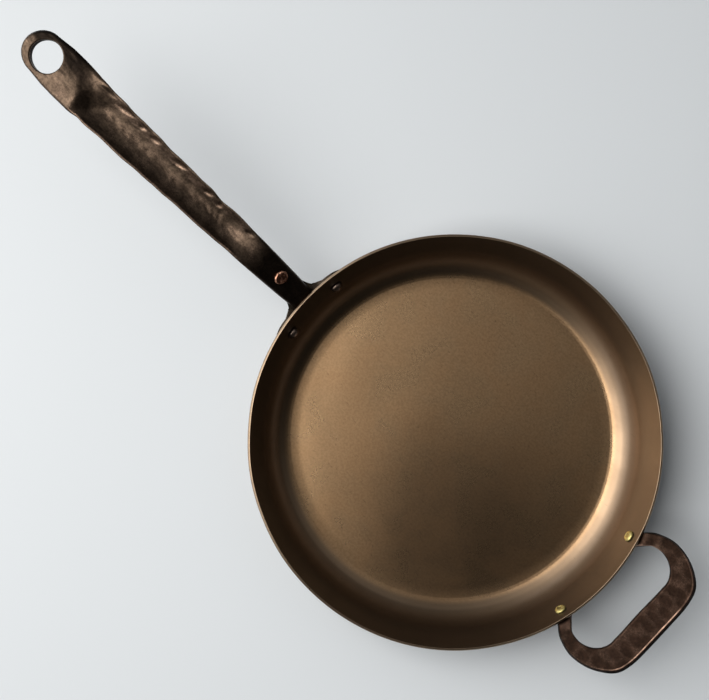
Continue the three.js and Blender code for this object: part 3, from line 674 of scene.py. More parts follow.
def handle_line():
    """The bar's middle line: the running sum of its direction, from the root on the wall."""
    slope = handle_slope(LINE_S)
    x, z = np.cumsum(np.cos(slope)) * LINE_STEP, np.cumsum(np.sin(slope)) * LINE_STEP
    height = PAN_HEIGHT - HANDLE_DROP
    start = math.radians(ROOT_SLOPE)
    x += wall_radius(height) - math.sin(start) * ROOT_THICKNESS / 2 - np.interp(0.0, LINE_S, x)
    z += height + math.cos(start) * ROOT_THICKNESS / 2 - np.interp(0.0, LINE_S, z)
    return x, z


LINE_X, LINE_Z = handle_line()


def on_handle(s, a, u):
    """A point of the bar in the part's frame: s along it, a to its left and u up from its middle line.
    The bar turns about its own line towards the eye."""
    slope = handle_slope(s)
    start = EYE_START - EYE_TWIST_LENGTH / 2
    twist = math.radians(EYE_TWIST) * smooth(s, start, start + EYE_TWIST_LENGTH)
    side = a * np.cos(twist) + u * np.sin(twist)
    up = u * np.cos(twist) - a * np.sin(twist)
    x = np.interp(s, LINE_S, LINE_X) - np.sin(slope) * up
    z = np.interp(s, LINE_S, LINE_Z) + np.cos(slope) * up
    return np.stack([x, side, z], -1)


WIDTH_AT = (0.0, 21.0, 45.0, 92.0, 138.0, 184.0, 207.0, 219.0, 231.0, 242.0, 255.0)
WIDTHS = (17.8, 20.2, 22.0, 24.8, 27.2, 29.9, 31.4, 33.1, 33.5, 33.1, 30.0)
BOW_AT = (0.0, 40.0, 110.0, 180.0, 225.0, 262.0)
BOWS = (0.5, 0.8, 1.2, 1.4, 1.0, 0.0)
WAVER_LENGTH, WAVER_LEFT, WAVER_RIGHT, EDGES_APART = 26.0, 0.13, 0.25, 40.0
WAVER_FROM, WAVER_TO = (40.0, 90.0), (205.0, 235.0)
NICK_AT, NICK_HALF, NICK_DEPTH = 210.0, 3.5, 0.7


def handle_bow(s):
    """How far the bar's middle lies to the left of a straight line."""
    return np.interp(s, BOW_AT, BOWS)


def handle_half(s, side):
    """Half width of the bar on one side: forged by eye, so it wavers by a fraction of a millimetre along the
    grip, with a nick in the left edge before the eye."""
    past = np.clip((s - TIP_AT) / TIP_RADIUS, 0.0, 1.0)
    ground = np.stack([s, 0 * s + EDGES_APART * side], -1)
    waver = ripples(ground, WAVER_LENGTH, seed=21) * smooth(s, *WAVER_FROM) * fall(s, *WAVER_TO)
    waver = waver * (WAVER_LEFT if side > 0 else WAVER_RIGHT)
    nick = NICK_DEPTH * hill(s, NICK_AT, NICK_HALF) * (side > 0)
    return (np.interp(s, WIDTH_AT, WIDTHS) / 2 + waver - nick) * np.sqrt(1.0 - past ** 2)


def handle_thickness(s):
    """Thickness of the bar along it."""
    at = (0.0, ROOT_LENGTH, ROOT_LENGTH + BEND_LENGTH, EYE_START - EYE_SWELL, EYE_START)
    thick = (ROOT_THICKNESS, ROOT_THICKNESS, GRIP_THICKNESS, GRIP_THICKNESS, EYE_THICKNESS)
    return np.interp(s, at, thick)


def handle_hollow(s, a):
    """How far the bar's middle surface lies below its edges: a parabola across, deepening from the
    bracket. At the eye it ends steeply on the left and fades out on the right, with a small pocket
    where both meet."""
    share = np.clip((a - handle_bow(s)) / np.maximum(handle_half(s, 1.0), 1.0), -1.0, 1.0)
    left = smooth(a, *TROUGH_SIDES)
    end = mix(*TROUGH_ENDS, left)
    run = mix(*TROUGH_RUNS_OUT, left)
    depth = TROUGH_DEPTH * smooth(s, ROOT_LENGTH, ROOT_LENGTH + TROUGH_RUN_IN) * fall(s, end - run, end)
    pocket = POCKET_DEPTH * hill(s, POCKET_AT[0], POCKET_HALF[0]) * hill(a, POCKET_AT[1], POCKET_HALF[1])
    return (depth + pocket) * (1.0 - share ** 2)


# Chips: place along the bar and half length
CHIPS = [
    (70.0, 4.0), (99.0, 3.0), (110.0, 4.5), (138.0, 7.5),
    (161.0, 5.0), (173.0, 3.5), (188.0, 8.5), (206.0, 8.0),
]
CHIP_INSIDE, CHIP_HALF_WIDTH, CHIP_LEAN, CHIP_DEPTH = 3.3, 2.1, 0.14, 0.75
SCALLOP_LENGTH, SCALLOP_JITTER, SCALLOP_LEAN, SCALLOP_DEPTH = 10.0, 3.4, 0.2, 0.2
SCALLOP_MIDDLE, SCALLOP_HALF_WIDTH, JITTER_LENGTH = 1.0, 7.5, 30.0
SCALLOP_MEAN, SCALLOP_SWING, SCALLOP_PATCH, SCALLOP_LIMITS = 0.6, 0.5, 22.0, (0.1, 1.4)
SCALLOPS_FROM, SCALLOPS_TO = (62.0, 92.0), (192.0, 216.0)
COARSE_DENT, COARSE_LENGTH, FINE_DENT, FINE_LENGTH = 0.045, 9.0, 0.015, 4.0
DENT_SQUEEZE, ROOT_DENTS, DENTS_FROM = 1.6, 0.35, (45.0, 75.0)
LIP_DENTS, LIP_DENTS_FROM = 0.35, (0.80, 0.99)


def handle_chips(s, a):
    """Scoops chopped into the right-hand lip, from 0 to 1: leaning slivers a little inside the edge."""
    deep = np.zeros_like(s)
    for at, half_length in CHIPS:
        middle = handle_bow(at) - handle_half(np.array([at]), -1.0) + CHIP_INSIDE
        aside = (a - middle) - CHIP_LEAN * (s - at)
        deep = np.maximum(deep, 1.0 - ((s - at) / half_length) ** 2 - (aside / CHIP_HALF_WIDTH) ** 2)
    return deep


def handle_dents(s, a):
    """Hammer work on the upper face: shallow scallops of uneven length and depth along the trough with
    sharp ridges between them, along |cos|, finer dents, and chips in the right-hand lip."""
    ground = np.stack([s, DENT_SQUEEZE * a], -1)
    jitter = SCALLOP_JITTER * ripples(ground, JITTER_LENGTH, seed=31)
    scallop = np.abs(np.cos(math.pi * (s + jitter + SCALLOP_LEAN * a) / SCALLOP_LENGTH))
    along_grip = smooth(s, *SCALLOPS_FROM) * fall(s, *SCALLOPS_TO)
    swing = SCALLOP_SWING * ripples(ground, SCALLOP_PATCH, seed=35)
    uneven = np.clip(SCALLOP_MEAN + swing, *SCALLOP_LIMITS)
    depth = SCALLOP_DEPTH * scallop * uneven * along_grip * hill(a, SCALLOP_MIDDLE, SCALLOP_HALF_WIDTH)
    coarse = COARSE_DENT * ripples(ground, COARSE_LENGTH, seed=32)
    fine = FINE_DENT * ripples(ground, FINE_LENGTH, seed=33)
    dents = (coarse + fine) * mix(ROOT_DENTS, 1.0, smooth(s, *DENTS_FROM))
    return dents - depth - CHIP_DEPTH * handle_chips(s, a)


def eye_slant(s, a):
    """How far the upper face of the eye lies below a flat plate: it falls away to the right of a ridge
    that runs down its middle, along (d^2 + r^2)^0.5 + d, with d half the distance past the ridge."""
    past = -(a - RIDGE_AT) / 2
    below = np.sqrt(past ** 2 + RIDGE_ROUND ** 2) + past - RIDGE_ROUND / 2
    return SLANT * np.maximum(below, 0.0) * smooth(s, *SLANT_FROM)


SHAFT_ROWS, APPROACH_ROWS, EYE_ROWS, APPROACH = 190, 14, 72, 6.0
FLANK_STEPS, TIP_STEPS, HOLE_RINGS, SHORTEST = 60, 160, 6, 1e-6
FACE_COLUMNS, FILLET_COLUMNS = 25, 6
LEFT_FILLET, RIGHT_FILLET = 0.50, 0.55
ROOT_SHAPED, ROOT_CLEAR = 25.0, 0.45


def handle_rows(side):
    """Inner and outer ends of the rows of one half of the bar, in the plan (s, a). Along the shaft a row
    runs from the middle line to the edge, and round the eye from the oval hole to the outline."""
    near = HOLE_AT - HOLE_HALF_LENGTH
    shaft = np.linspace(0.0, near - APPROACH, SHAFT_ROWS, endpoint=False)
    s = np.concatenate([shaft, np.linspace(near - APPROACH, near, APPROACH_ROWS)])
    inner = np.stack([s, handle_bow(s)], -1)
    outer = np.stack([s, handle_bow(s) + side * handle_half(s, side)], -1)
    flank = np.linspace(near, TIP_AT, FLANK_STEPS, endpoint=False)
    turn = np.linspace(0.0, math.pi / 2, TIP_STEPS)
    far = np.concatenate([flank, TIP_AT + TIP_RADIUS * np.sin(turn)])
    rim = np.stack([far, handle_bow(far) + side * handle_half(far, side)], -1)
    run = np.concatenate([[0.0], np.cumsum(np.linalg.norm(np.diff(rim, axis=0), axis=1))])
    share = np.linspace(0.0, 1.0, EYE_ROWS + 1)[1:]
    outer_eye = np.stack([np.interp(share * run[-1], run, rim[:, k]) for k in range(2)], -1)
    phi = share * math.pi
    inner_s = HOLE_AT - HOLE_HALF_LENGTH * np.cos(phi)
    inner_eye = np.stack([inner_s, handle_bow(inner_s) + side * HOLE_HALF_WIDTH * np.sin(phi)], -1)
    return np.concatenate([inner, inner_eye]), np.concatenate([outer, outer_eye]), len(s)


LIP_INSIDE, LIP_WIDTH, CHIP_BORDER = 0.6, 1.3, (0.0, 0.35)
# Wear shares; the left lip's is partly painted highlight, and the flank's is painted light
LIT_LIP_WEAR, EYE_LIT_LIP_WEAR, RIGHT_LIP_RUB, CHIP_RUB, HOLE_RUB, FLANK_PAINTED_LIGHT = 1.25, 0.7, 0.1, 0.58, 0.5, 0.72
LIT_LIP_WEAR_FROM, LIT_LIP_WEAR_EASES = (45.0, 75.0), (205.0, 225.0)
# Where the painted light on the trough's right flank lies, across it and along the bar
LIT_FLANK_INNER, LIT_FLANK_OUTER, LIT_FLANK_FROM, LIT_FLANK_TO = (0.3, 0.6), (0.82, 0.95), (70.0, 95.0), (195.0, 212.0)
# Painted shade down the right-hand side, at the root and on the right half of the eye
SIDE_PAINTED_SHADE, SIDE_SHADE_FULL, ROOT_PAINTED_SHADE, EYE_PAINTED_SHADE = 0.9, 0.4, 0.5, 0.6
ROOT_SHADE_TO, EYE_SHADE_ACROSS, EYE_SHADE_FROM = (45.0, 78.0), (-1.0, 8.0), (214.0, 234.0)


def handle_wear_and_painted_shading(side, s, a, reach, length, fillet, upper, hole_edge):
    """How bare the bar is rubbed: along the left lip, far more than along the right one, in the chips and
    round the hole; the left lip's wear is partly painted highlight. The right flank of the trough gets
    painted light, and the right-hand side, the root and the right half of the eye get painted shade, below 0."""
    near_lip = np.clip(1.0 - np.abs(length - LIP_INSIDE * fillet - reach) / LIP_WIDTH, 0.0, 1.0)
    # Bare wear along the lips, far more on the lit left lip than the right: partly painted highlight
    lip_wear_and_highlight = smooth(s, *LIT_LIP_WEAR_FROM) * mix(LIT_LIP_WEAR, EYE_LIT_LIP_WEAR, smooth(s, *LIT_LIP_WEAR_EASES))
    border = near_lip * upper * (lip_wear_and_highlight if side > 0 else RIGHT_LIP_RUB)
    chip = CHIP_RUB * smooth(handle_chips(s, a), *CHIP_BORDER) * upper
    wear = np.maximum(np.maximum(border, chip), HOLE_RUB * hole_edge)
    if side < 0:
        # Painted shade down the right-hand side's edge
        wear = wear - SIDE_PAINTED_SHADE * smooth(reach, length - fillet, length - SIDE_SHADE_FULL * fillet)
        # Painted light on the right flank of the trough
        flank = smooth(reach / length, *LIT_FLANK_INNER) * fall(reach / length, *LIT_FLANK_OUTER) * upper
        wear = np.maximum(wear, FLANK_PAINTED_LIGHT * flank * smooth(s, *LIT_FLANK_FROM) * fall(s, *LIT_FLANK_TO))
    eye = smooth(-a, *EYE_SHADE_ACROSS) * smooth(s, *EYE_SHADE_FROM)
    # Painted shade at the root and on the right half of the eye
    return wear - ROOT_PAINTED_SHADE * fall(s, *ROOT_SHADE_TO) - EYE_PAINTED_SHADE * eye


def handle_half_skin(side):
    """One half of the bar's skin: each row goes over the upper face to the edge, round it and back below.
    Returns the points, how much each lies on an arris with its painted shade and light, and the number of the
    first row at the hole."""
    inner, outer, first_eye = handle_rows(side)
    span = outer - inner
    length = np.maximum(np.linalg.norm(span, axis=1), SHORTEST)[:, None]
    thick = handle_thickness(outer[:, 0])[:, None]
    fillet = np.minimum((LEFT_FILLET if side > 0 else RIGHT_FILLET) * thick, 0.5 * length)
    even = np.linspace(0.0, 1.0, FACE_COLUMNS)
    over = mix((1.0 - np.cos(math.pi * even)) / 2, even, 0.5)
    bow = np.linspace(0.0, math.pi / 2, FILLET_COLUMNS + 1)[1:]
    flat = over * (length - fillet)
    turn = length - fillet + fillet * np.sin(bow)
    rise = thick / 2 - fillet + fillet * np.cos(bow)
    reach = np.concatenate([flat, turn, turn[:, ::-1], flat[:, ::-1]], 1)
    top = np.repeat(thick / 2, FACE_COLUMNS, 1)
    u = np.concatenate([top, rise, -rise[:, ::-1], -top], 1)
    s = inner[:, :1] + span[:, :1] / length * reach
    a = inner[:, 1:] + span[:, 1:] / length * reach
    above = FACE_COLUMNS + FILLET_COLUMNS // 2
    upper = np.concatenate([np.ones(above), np.linspace(1, 0, FILLET_COLUMNS), np.zeros(above)])
    oval = np.hypot((s - HOLE_AT) / HOLE_HALF_LENGTH, (a - handle_bow(s)) / HOLE_HALF_WIDTH)
    clear_of_hole = (oval - 1.0) * (HOLE_HALF_LENGTH + HOLE_HALF_WIDTH) / 2
    clear = np.clip(clear_of_hole, 0.0, HOLE_ROUND)
    drop = HOLE_ROUND - np.sqrt(np.maximum(HOLE_ROUND ** 2 - (HOLE_ROUND - clear) ** 2, 0.0))
    work = handle_dents(s, a) * mix(LIP_DENTS, 1.0, fall(reach / length, *LIP_DENTS_FROM))
    slant = eye_slant(s, a) * mix(UNDER_SLANT, 1.0, upper)
    u = u - np.sign(u) * drop + upper * work - slant - handle_hollow(s, a)
    s = s - HOLE_LEAN * (1.0 - upper) * fall(clear_of_hole, 0.0, HOLE_LEAN_REACH)
    end = np.maximum(u + thick / 2, 0.0) + ROOT_CLEAR - a ** 2 / (2.0 * RIM_RADIUS)
    s = np.where(s < ROOT_SHAPED, end + s / ROOT_SHAPED * (ROOT_SHAPED - end), s)
    wear = handle_wear_and_painted_shading(side, s, a, reach, length, fillet, upper, 1.0 - clear / HOLE_ROUND)
    return on_handle(s, a, u), wear, first_eye


def make_long_handle():
    """The bar: both halves of its skin in one grid that runs up its left edge, round the tip and down its
    right edge, with a wall inside the hole and a cap at the root."""
    left, left_edge, first = handle_half_skin(1.0)
    right, right_edge, _ = handle_half_skin(-1.0)
    skin = np.concatenate([left, right[-2::-1]])
    edge = np.concatenate([left_edge, right_edge[-2::-1]])
    rows, columns = skin.shape[:2]
    faces = quads(rows, columns)
    eye = np.arange(first - 1, rows - first + 1)
    drop = np.linspace(0.0, 1.0, HOLE_RINGS)[:, None, None]
    wall = mix(skin[eye, 0], skin[eye, -1], drop)
    start = rows * columns
    faces = np.concatenate([faces, start + quads(len(drop), len(eye))])
    cap = list(range(columns)) + [(rows - 1) * columns + k for k in range(columns - 1, -1, -1)]
    points = np.concatenate([skin.reshape(-1, 3), wall.reshape(-1, 3)])
    # Painted shade: the wall inside the hole is painted black, below 0
    edges = np.concatenate([edge.ravel(), np.full(wall.shape[0] * wall.shape[1], -1.0)])
    all_faces = [list(f) for f in faces] + [cap]
    piece("forged_handle", points, all_faces, HANDLE_IRON, ["long_handle"], edges)


def make_handle_rivet():
    """The copper rivet, square to the bar on the bracket, head upwards."""
    slope = math.radians(ROOT_SLOPE)
    up = np.array([-math.sin(slope), 0.0, math.cos(slope)])
    along = np.array([math.cos(slope), 0.0, math.sin(slope)])
    height = PAN_HEIGHT - HANDLE_DROP
    foot = np.array([wall_radius(height), 0.0, height]) + along * HANDLE_RIVET_REACH
    axes = np.stack([along, np.cross(-up, along), -up])
    seat = foot + up * (ROOT_THICKNESS + GAP), axes
    grip = ROOT_THICKNESS + BRACKET_SHEET + 3 * GAP
    make_rivet(
        "handle_rivet_copper", "handle_rivet", RIVET_COPPER, seat, COPPER_SIZES, grip,
        hammered_head, seed=23, oval=COPPER_OVAL, beaten=COPPER_BEATEN,
    )


# Loop handle


def on_wall(aside, height, out):
    """A point on the wall's outside, at a distance aside and a height, moved straight out of the wall."""
    radius = wall_radius(height)
    around = math.asin(aside / radius)
    r, z = radius + out * math.cos(LEAN), height - out * math.sin(LEAN)
    return np.array([r * math.cos(around), r * math.sin(around), z])


LOOP_BEVEL, LOOP_BEAD, LOOP_SMALL = 0.12, 0.05, 0.045
# Painted shade on one side of the upper face, and painted light on the other
LOOP_PAINTED_SHADE, LOOP_PAINTED_LIGHT = -0.3, 0.5
LOOP_SECTION = [
    (0.5 - LOOP_BEVEL, 0.55), (0.5 - LOOP_BEVEL - LOOP_BEAD, 0.49), (LOOP_SMALL - 0.5, 0.5), (-0.5, 0.3),
    (-0.5, -0.3), (LOOP_SMALL - 0.5, -0.5), (0.5 - LOOP_SMALL, -0.5), (0.5, -0.3), (0.5, 0.14),
]
LOOP_ROUNDS = [0.015, 0.02, 0.025, 0.06, 0.06, 0.025, 0.025, 0.06, 0.06]
LOOP_STEPS, EASE_TURN, EASE_WIDTH, ROUND_STEPS = 12, 5, 8, 5
PAD_START, PAD_KEYS, CORNER_KEYS = 0.3, 4, 7
LOOP_WAVER, LOOP_WAVER_LENGTH, LOOP_DENTS_ABOVE = 0.006, 24.0, 0.3
LOOP_DENT, LOOP_DENT_LENGTH, LOOP_FINE_DENT, LOOP_FINE_LENGTH = 0.05, 12.0, 0.02, 5.0
# Heights of the upper face and the inner arris, and the span of the outer bevel's painted shade
TOP_ABOVE, INNER_ABOVE, SHADED_BEVEL_FROM, SHADED_BEVEL_UP = 0.4, 0.1, 0.9, (-0.4, 0.0)
BURR_HALF, INNER_HALF = 0.03, 0.05
# Wear of the grip's burr and the leg, and the span across which the face goes from painted shade to painted
# light
GRIP_RUB, LEG_RUB, FACE_LIGHT_ACROSS = 0.3, 0.25, (-42.0, 46.0)
GRIP_RUB_PAST, GRIP_RUB_TO, LEG_RUB_ASIDE, LEG_RUB_TO = 160.0, (16.0, 32.0), (30.0, 38.0), (160.0, 172.0)
CORNER_ASIDE, CORNER_HALF, CORNER_FROM, CORNER_SWELL = 37.0, 6.0, 178.0, 1.5
OUTER_TRIM, TRIM_FROM = 0.6, (160.0, 175.0)


def loop_keys():
    """Places along the loop with its upper face's direction, width and thickness: up the pad, over the
    knee, along the neck and leg, round the corner to the middle of the grip, and the mirror image back."""
    leg_height = PAN_HEIGHT - LOOP_DROP
    leg_start = wall_radius(leg_height)
    leg_side = (LOOP_WIDTH - LOOP_LEG_WIDTH) / 2
    grip_line = RIM_RADIUS + LOOP_REACH - LOOP_GRIP_WIDTH / 2 * math.cos(LOOP_TILT)
    level = np.array([-math.sin(LOOP_TILT), 0.0, math.cos(LOOP_TILT)])
    pad_side = LOOP_RIVET_SPACING / 2
    around = math.asin(pad_side / wall_radius(LOOP_RIVET_HEIGHT))
    flat = math.cos(LEAN)
    inward = -np.array([flat * math.cos(around), flat * math.sin(around), -math.sin(LEAN)])
    pad_out = GAP + PAD_THICKNESS / 2

    def on_loop(x, y):
        """A point of the loop's tilted plane."""
        return np.array([x, y, leg_height + (x - leg_start) * math.tan(LOOP_TILT)])

    def past_rim(beyond, y):
        """A point of that plane at a distance beyond the rim."""
        return on_loop(math.sqrt((RIM_RADIUS + beyond) ** 2 - y ** 2), y)

    keys = []
    for turn in np.linspace(PAD_START, math.pi / 2, PAD_KEYS):
        at = on_wall(pad_side, LOOP_RIVET_HEIGHT - PAD_REACH * math.cos(turn), pad_out)
        keys.append((at, inward, PAD_WIDTH * math.sin(turn), PAD_THICKNESS))
    at = on_wall(pad_side + PAD_LEAN, LOOP_RIVET_HEIGHT + PAD_RISE, pad_out)
    keys.append((at, inward, (PAD_WIDTH + LOOP_NECK_WIDTH) / 2, PAD_THICKNESS))
    knee = past_rim(KNEE_BEYOND, pad_side + KNEE_ASIDE)
    keys.append((knee, inward + level, LOOP_NECK_WIDTH, (PAD_THICKNESS + LOOP_THICKNESS) / 2))
    keys.append((past_rim(NECK_BEYOND, pad_side + NECK_ASIDE), level, LOOP_NECK_WIDTH, LOOP_THICKNESS))
    leg = past_rim(LEG_BEYOND, leg_side - LEG_LEAN)
    keys.append((leg, level, (LOOP_NECK_WIDTH + LOOP_LEG_WIDTH) / 2, LOOP_THICKNESS))
    for share in np.linspace(0.0, 1.0, CORNER_KEYS):
        turn = share * math.pi / 2
        x = grip_line - LOOP_CORNER * (1 - math.sin(turn))
        y = leg_side - LOOP_CORNER * (1 - math.cos(turn))
        keys.append((on_loop(x, y), level, mix(LOOP_LEG_WIDTH, LOOP_GRIP_WIDTH, share), LOOP_THICKNESS))
    keys.append((on_loop(grip_line, 0.0), level, LOOP_GRIP_WIDTH, LOOP_THICKNESS))
    mirror = np.array([1.0, -1.0, 1.0])
    keys += [(at * mirror, up * mirror, width, thick) for at, up, width, thick in keys[-2::-1]]
    at, up, width, thick = (np.array(column, float) for column in zip(*keys))
    return at, up / np.linalg.norm(up, axis=1)[:, None], width, thick


def smooth_line(knots, steps):
    """A centripetal Catmull-Rom line through the knots: a cubic between two knots whose end slopes come
    from the neighbours, weighed by the square roots of the distances."""
    ends = [2 * knots[:1] - knots[1:2], knots, 2 * knots[-1:] - knots[-2:-1]]
    p = np.concatenate(ends)
    gap = np.sqrt(np.linalg.norm(np.diff(p, axis=0), axis=1))[:, None]
    before, here, after = gap[:-2], gap[1:-1], gap[2:]
    p0, p1, p2, p3 = p[:-3], p[1:-2], p[2:-1], p[3:]
    slope1 = ((p1 - p0) / before - (p2 - p0) / (before + here) + (p2 - p1) / here) * here
    slope2 = ((p2 - p1) / here - (p3 - p1) / (here + after) + (p3 - p2) / after) * here
    t = np.linspace(0.0, 1.0, steps, endpoint=False)[:, None, None]
    line = (2 * t ** 3 - 3 * t ** 2 + 1) * p1 + (t ** 3 - 2 * t ** 2 + t) * slope1
    line = line + (3 * t ** 2 - 2 * t ** 3) * p2 + (t ** 3 - t ** 2) * slope2
    return np.concatenate([line.transpose(1, 0, 2).reshape(-1, 3), knots[-1:]])


def rounded(corners, rounds):
    """A closed outline with each corner replaced by a curve between points at a distance before and
    after it, bent towards the corner: (1-t)^2 a + 2t(1-t) corner + t^2 b."""
    corners = np.asarray(corners, float)
    to_last, to_next = np.roll(corners, 1, 0) - corners, np.roll(corners, -1, 0) - corners
    rounds = np.asarray(rounds, float)[:, None]
    a = corners + to_last / np.linalg.norm(to_last, axis=1)[:, None] * rounds
    b = corners + to_next / np.linalg.norm(to_next, axis=1)[:, None] * rounds
    t = np.linspace(0.0, 1.0, ROUND_STEPS)[:, None, None]
    curve = (1 - t) ** 2 * a + 2 * t * (1 - t) * corners + t ** 2 * b
    return curve.transpose(1, 0, 2).reshape(-1, 2)


def evened(values, reach):
    """Values along a line, each replaced by the mean of its neighbours on both sides."""
    padded = np.pad(values, reach, mode="edge")
    return np.convolve(padded, np.full(2 * reach + 1, 1.0 / (2 * reach + 1)), mode="valid")


def loop_wear_and_painted_shading(line, a, u):
    """How bare the loop is rubbed, along its line and round its section: the burr along the grip and the
    inner arris along one leg. The upper face gets painted shade on one side, fading to painted light on the
    other, and the outer bevel gets painted shade, below 0."""
    x, y = line[:, 0], line[:, 1]
    burr = hill(a, 0.5 - LOOP_BEVEL - LOOP_BEAD / 2, BURR_HALF) * (u > TOP_ABOVE)
    # Painted shade on the outer bevel
    bevel = smooth(a, 0.5 - SHADED_BEVEL_FROM * LOOP_BEVEL, 0.5 - 0.5 * LOOP_BEVEL) * smooth(u, *SHADED_BEVEL_UP)
    inner = hill(a, -0.5, INNER_HALF) * (u > INNER_ABOVE)
    grip_rub = mix(GRIP_RUB, 1.0, fall(y, *GRIP_RUB_TO) * (x > GRIP_RUB_PAST))
    leg_rub = mix(LEG_RUB, 1.0, smooth(y, *LEG_RUB_ASIDE) * fall(x, *LEG_RUB_TO))
    # Painted shade on one side of the upper face, fading to painted light in bare patches on the other
    face = mix(LOOP_PAINTED_SHADE, LOOP_PAINTED_LIGHT, smooth(y, *FACE_LIGHT_ACROSS))[:, None] * (u > TOP_ABOVE)
    lines = np.maximum(burr * grip_rub[:, None], inner * leg_rub[:, None])
    return lines + face * (1.0 - burr) * (1.0 - inner) - bevel


def make_loop_handle():
    """The loop: a strip with a raised burr and a bevel along its outer edge, carried along its line, trimmed
    along its outer edge and swollen at its corners, and set against the wall by pushing out whatever lies
    inside the wall's cone."""
    at, up, width, thick = loop_keys()
    line = smooth_line(at, LOOP_STEPS)
    where = np.linspace(0.0, len(at) - 1.0, len(line))
    knots = np.arange(len(at))
    up = np.stack([evened(np.interp(where, knots, up[:, k]), EASE_TURN) for k in range(3)], -1)
    width = evened(np.interp(where, knots, width), EASE_WIDTH)
    thick = evened(np.interp(where, knots, thick), EASE_TURN)[:, None]
    along = np.gradient(line, axis=0)
    along /= np.linalg.norm(along, axis=1)[:, None]
    up -= along * (up * along).sum(1)[:, None]
    up /= np.linalg.norm(up, axis=1)[:, None]
    across = np.cross(up, along)[:, None]
    up = up[:, None]
    section = rounded(LOOP_SECTION, LOOP_ROUNDS)
    a, u = section[:, 0], section[:, 1]
    wide = (width * (1.0 + LOOP_WAVER * ripples(line, LOOP_WAVER_LENGTH, seed=41)))[:, None]
    corner = hill(np.abs(line[:, 1]), CORNER_ASIDE, CORNER_HALF) * (line[:, 0] > CORNER_FROM)
    trim = (CORNER_SWELL * corner - OUTER_TRIM) * smooth(line[:, 0], *TRIM_FROM)
    aside = a * wide + smooth(a, 0.0, 0.5) * trim[:, None]
    points = line[:, None] + across * aside[..., None] + up * (u * thick)[..., None]
    dents = LOOP_DENT * ripples(points, LOOP_DENT_LENGTH, seed=42)
    dents = dents + LOOP_FINE_DENT * ripples(points, LOOP_FINE_LENGTH, seed=43)
    points = points + up * (dents * (u > LOOP_DENTS_ABOVE))[..., None]
    radius = np.hypot(points[..., 0], points[..., 1])
    least = wall_radius(points[..., 2]) + GAP / math.cos(LEAN)
    points[..., :2] *= np.maximum(1.0, least / radius)[..., None]
    points[..., :2] *= -1.0
    rings, around = points.shape[:2]
    faces = [list(f) for f in quads(rings, around, tube=True)]
    faces += [list(range(around)), list(range((rings - 1) * around, rings * around))]
    piece("forged_loop", points, faces, LOOP_IRON, ["loop_handle"], loop_wear_and_painted_shading(line, a, u))


# Bracket


def tuck_wings(mesh):
    """Draws the wings in towards the wall beside the channel, so that they leave it in one sweep: nothing
    at the channel's side, most where the wing flares, and nothing again where it lies on the wall."""
    points = np.empty(len(mesh.vertices) * 3)
    mesh.vertices.foreach_get("co", points)
    points = points.reshape(-1, 3)
    aside = np.abs(points[:, 1]) / MM
    tuck = smooth(aside, CHANNEL_SIDE, WING_FLARE) * fall(aside, WING_FLARE, WING_SEAT)
    radius = np.hypot(points[:, 0], points[:, 1])
    points[:, :2] *= (1.0 - WING_TUCK * MM * tuck / radius)[:, None]
    mesh.vertices.foreach_set("co", points.ravel())
    mesh.update()


def make_bracket():
    """The folded bracket: the solid's own faces, welded, its flats made whole, its edges rounded and its
    wings drawn in."""
    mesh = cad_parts["handle_bracket"].data.copy()
    mesh.materials.clear()
    form = bmesh.new()
    form.from_mesh(mesh)
    bmesh.ops.remove_doubles(form, verts=form.verts, dist=WELD)
    bmesh.ops.dissolve_limit(form, angle_limit=FLAT_ANGLE, verts=form.verts, edges=form.edges)
    sharp = [e for e in form.edges if len(e.link_faces) == 2 and e.calc_face_angle() > FOLD_ANGLE]
    rounding = {"offset": BRACKET_EDGE * MM, "segments": 2, "profile": 0.5}
    bmesh.ops.bevel(form, geom=sharp, affect="EDGES", clamp_overlap=True, **rounding)
    form.to_mesh(mesh)
    form.free()
    tuck_wings(mesh)
    mesh.shade_smooth()
    mesh.set_sharp_from_angle(angle=SHADE_ANGLE)
    settle("folded_bracket", mesh, BRACKET_STEEL, ["handle_bracket"])


make_pan()
make_wall_rivets()
make_long_handle()
make_handle_rivet()
make_loop_handle()
make_bracket()


# Floor, light and camera

CAMERA_AT = (0.0908, 0.0106, 0.8808)
CAMERA_TURN = (0.87, 0.03, -136.78)
FOCAL_PIXELS = 1136.0
IMAGE_WIDTH = 709.0
SENSOR = 36.0
PALE_FLOOR, FLOOR_ROUGHNESS, FLOOR_HALF, FLOOR_LEVEL = (0.64, 0.664, 0.681, 1), 0.7, 30.0, -0.0002
WINDOW_AROUND, WINDOW_ELEVATION, WINDOW_DISTANCE = 169.0, 55.0, 1.4
WINDOW_SIZE, WINDOW_WATTS, WINDOW_COLOR = (1.1, 1.2), 17.0, (1.0, 0.985, 0.96)
SKY_COLOR, SKY_DIM, HORIZON_GLOW, HORIZON_TOP = (0.96, 0.98, 1.0, 1), 0.015, 0.45, 0.22
# Glows of the sky: turn and elevation, cosines of the angles at its rim and its core, and strength
SKY_GLOWS = [
    ((165.0, 20.0), 0.5, 0.98, 2.0),
    ((75.0, 58.0), 0.743, 0.985, 0.4),
    ((28.0, 42.0), 0.85, 0.99, 0.1),
]


def make_camera():
    """A camera almost straight above the pan."""
    data = bpy.data.cameras.new("camera")
    data.sensor_fit = "HORIZONTAL"
    data.sensor_width = SENSOR
    data.lens = SENSOR * FOCAL_PIXELS / IMAGE_WIDTH
    camera = bpy.data.objects.new("camera", data)
    camera.location = CAMERA_AT
    camera.rotation_euler = [math.radians(a) for a in CAMERA_TURN]
    bpy.context.scene.collection.objects.link(camera)
    bpy.context.scene.camera = camera


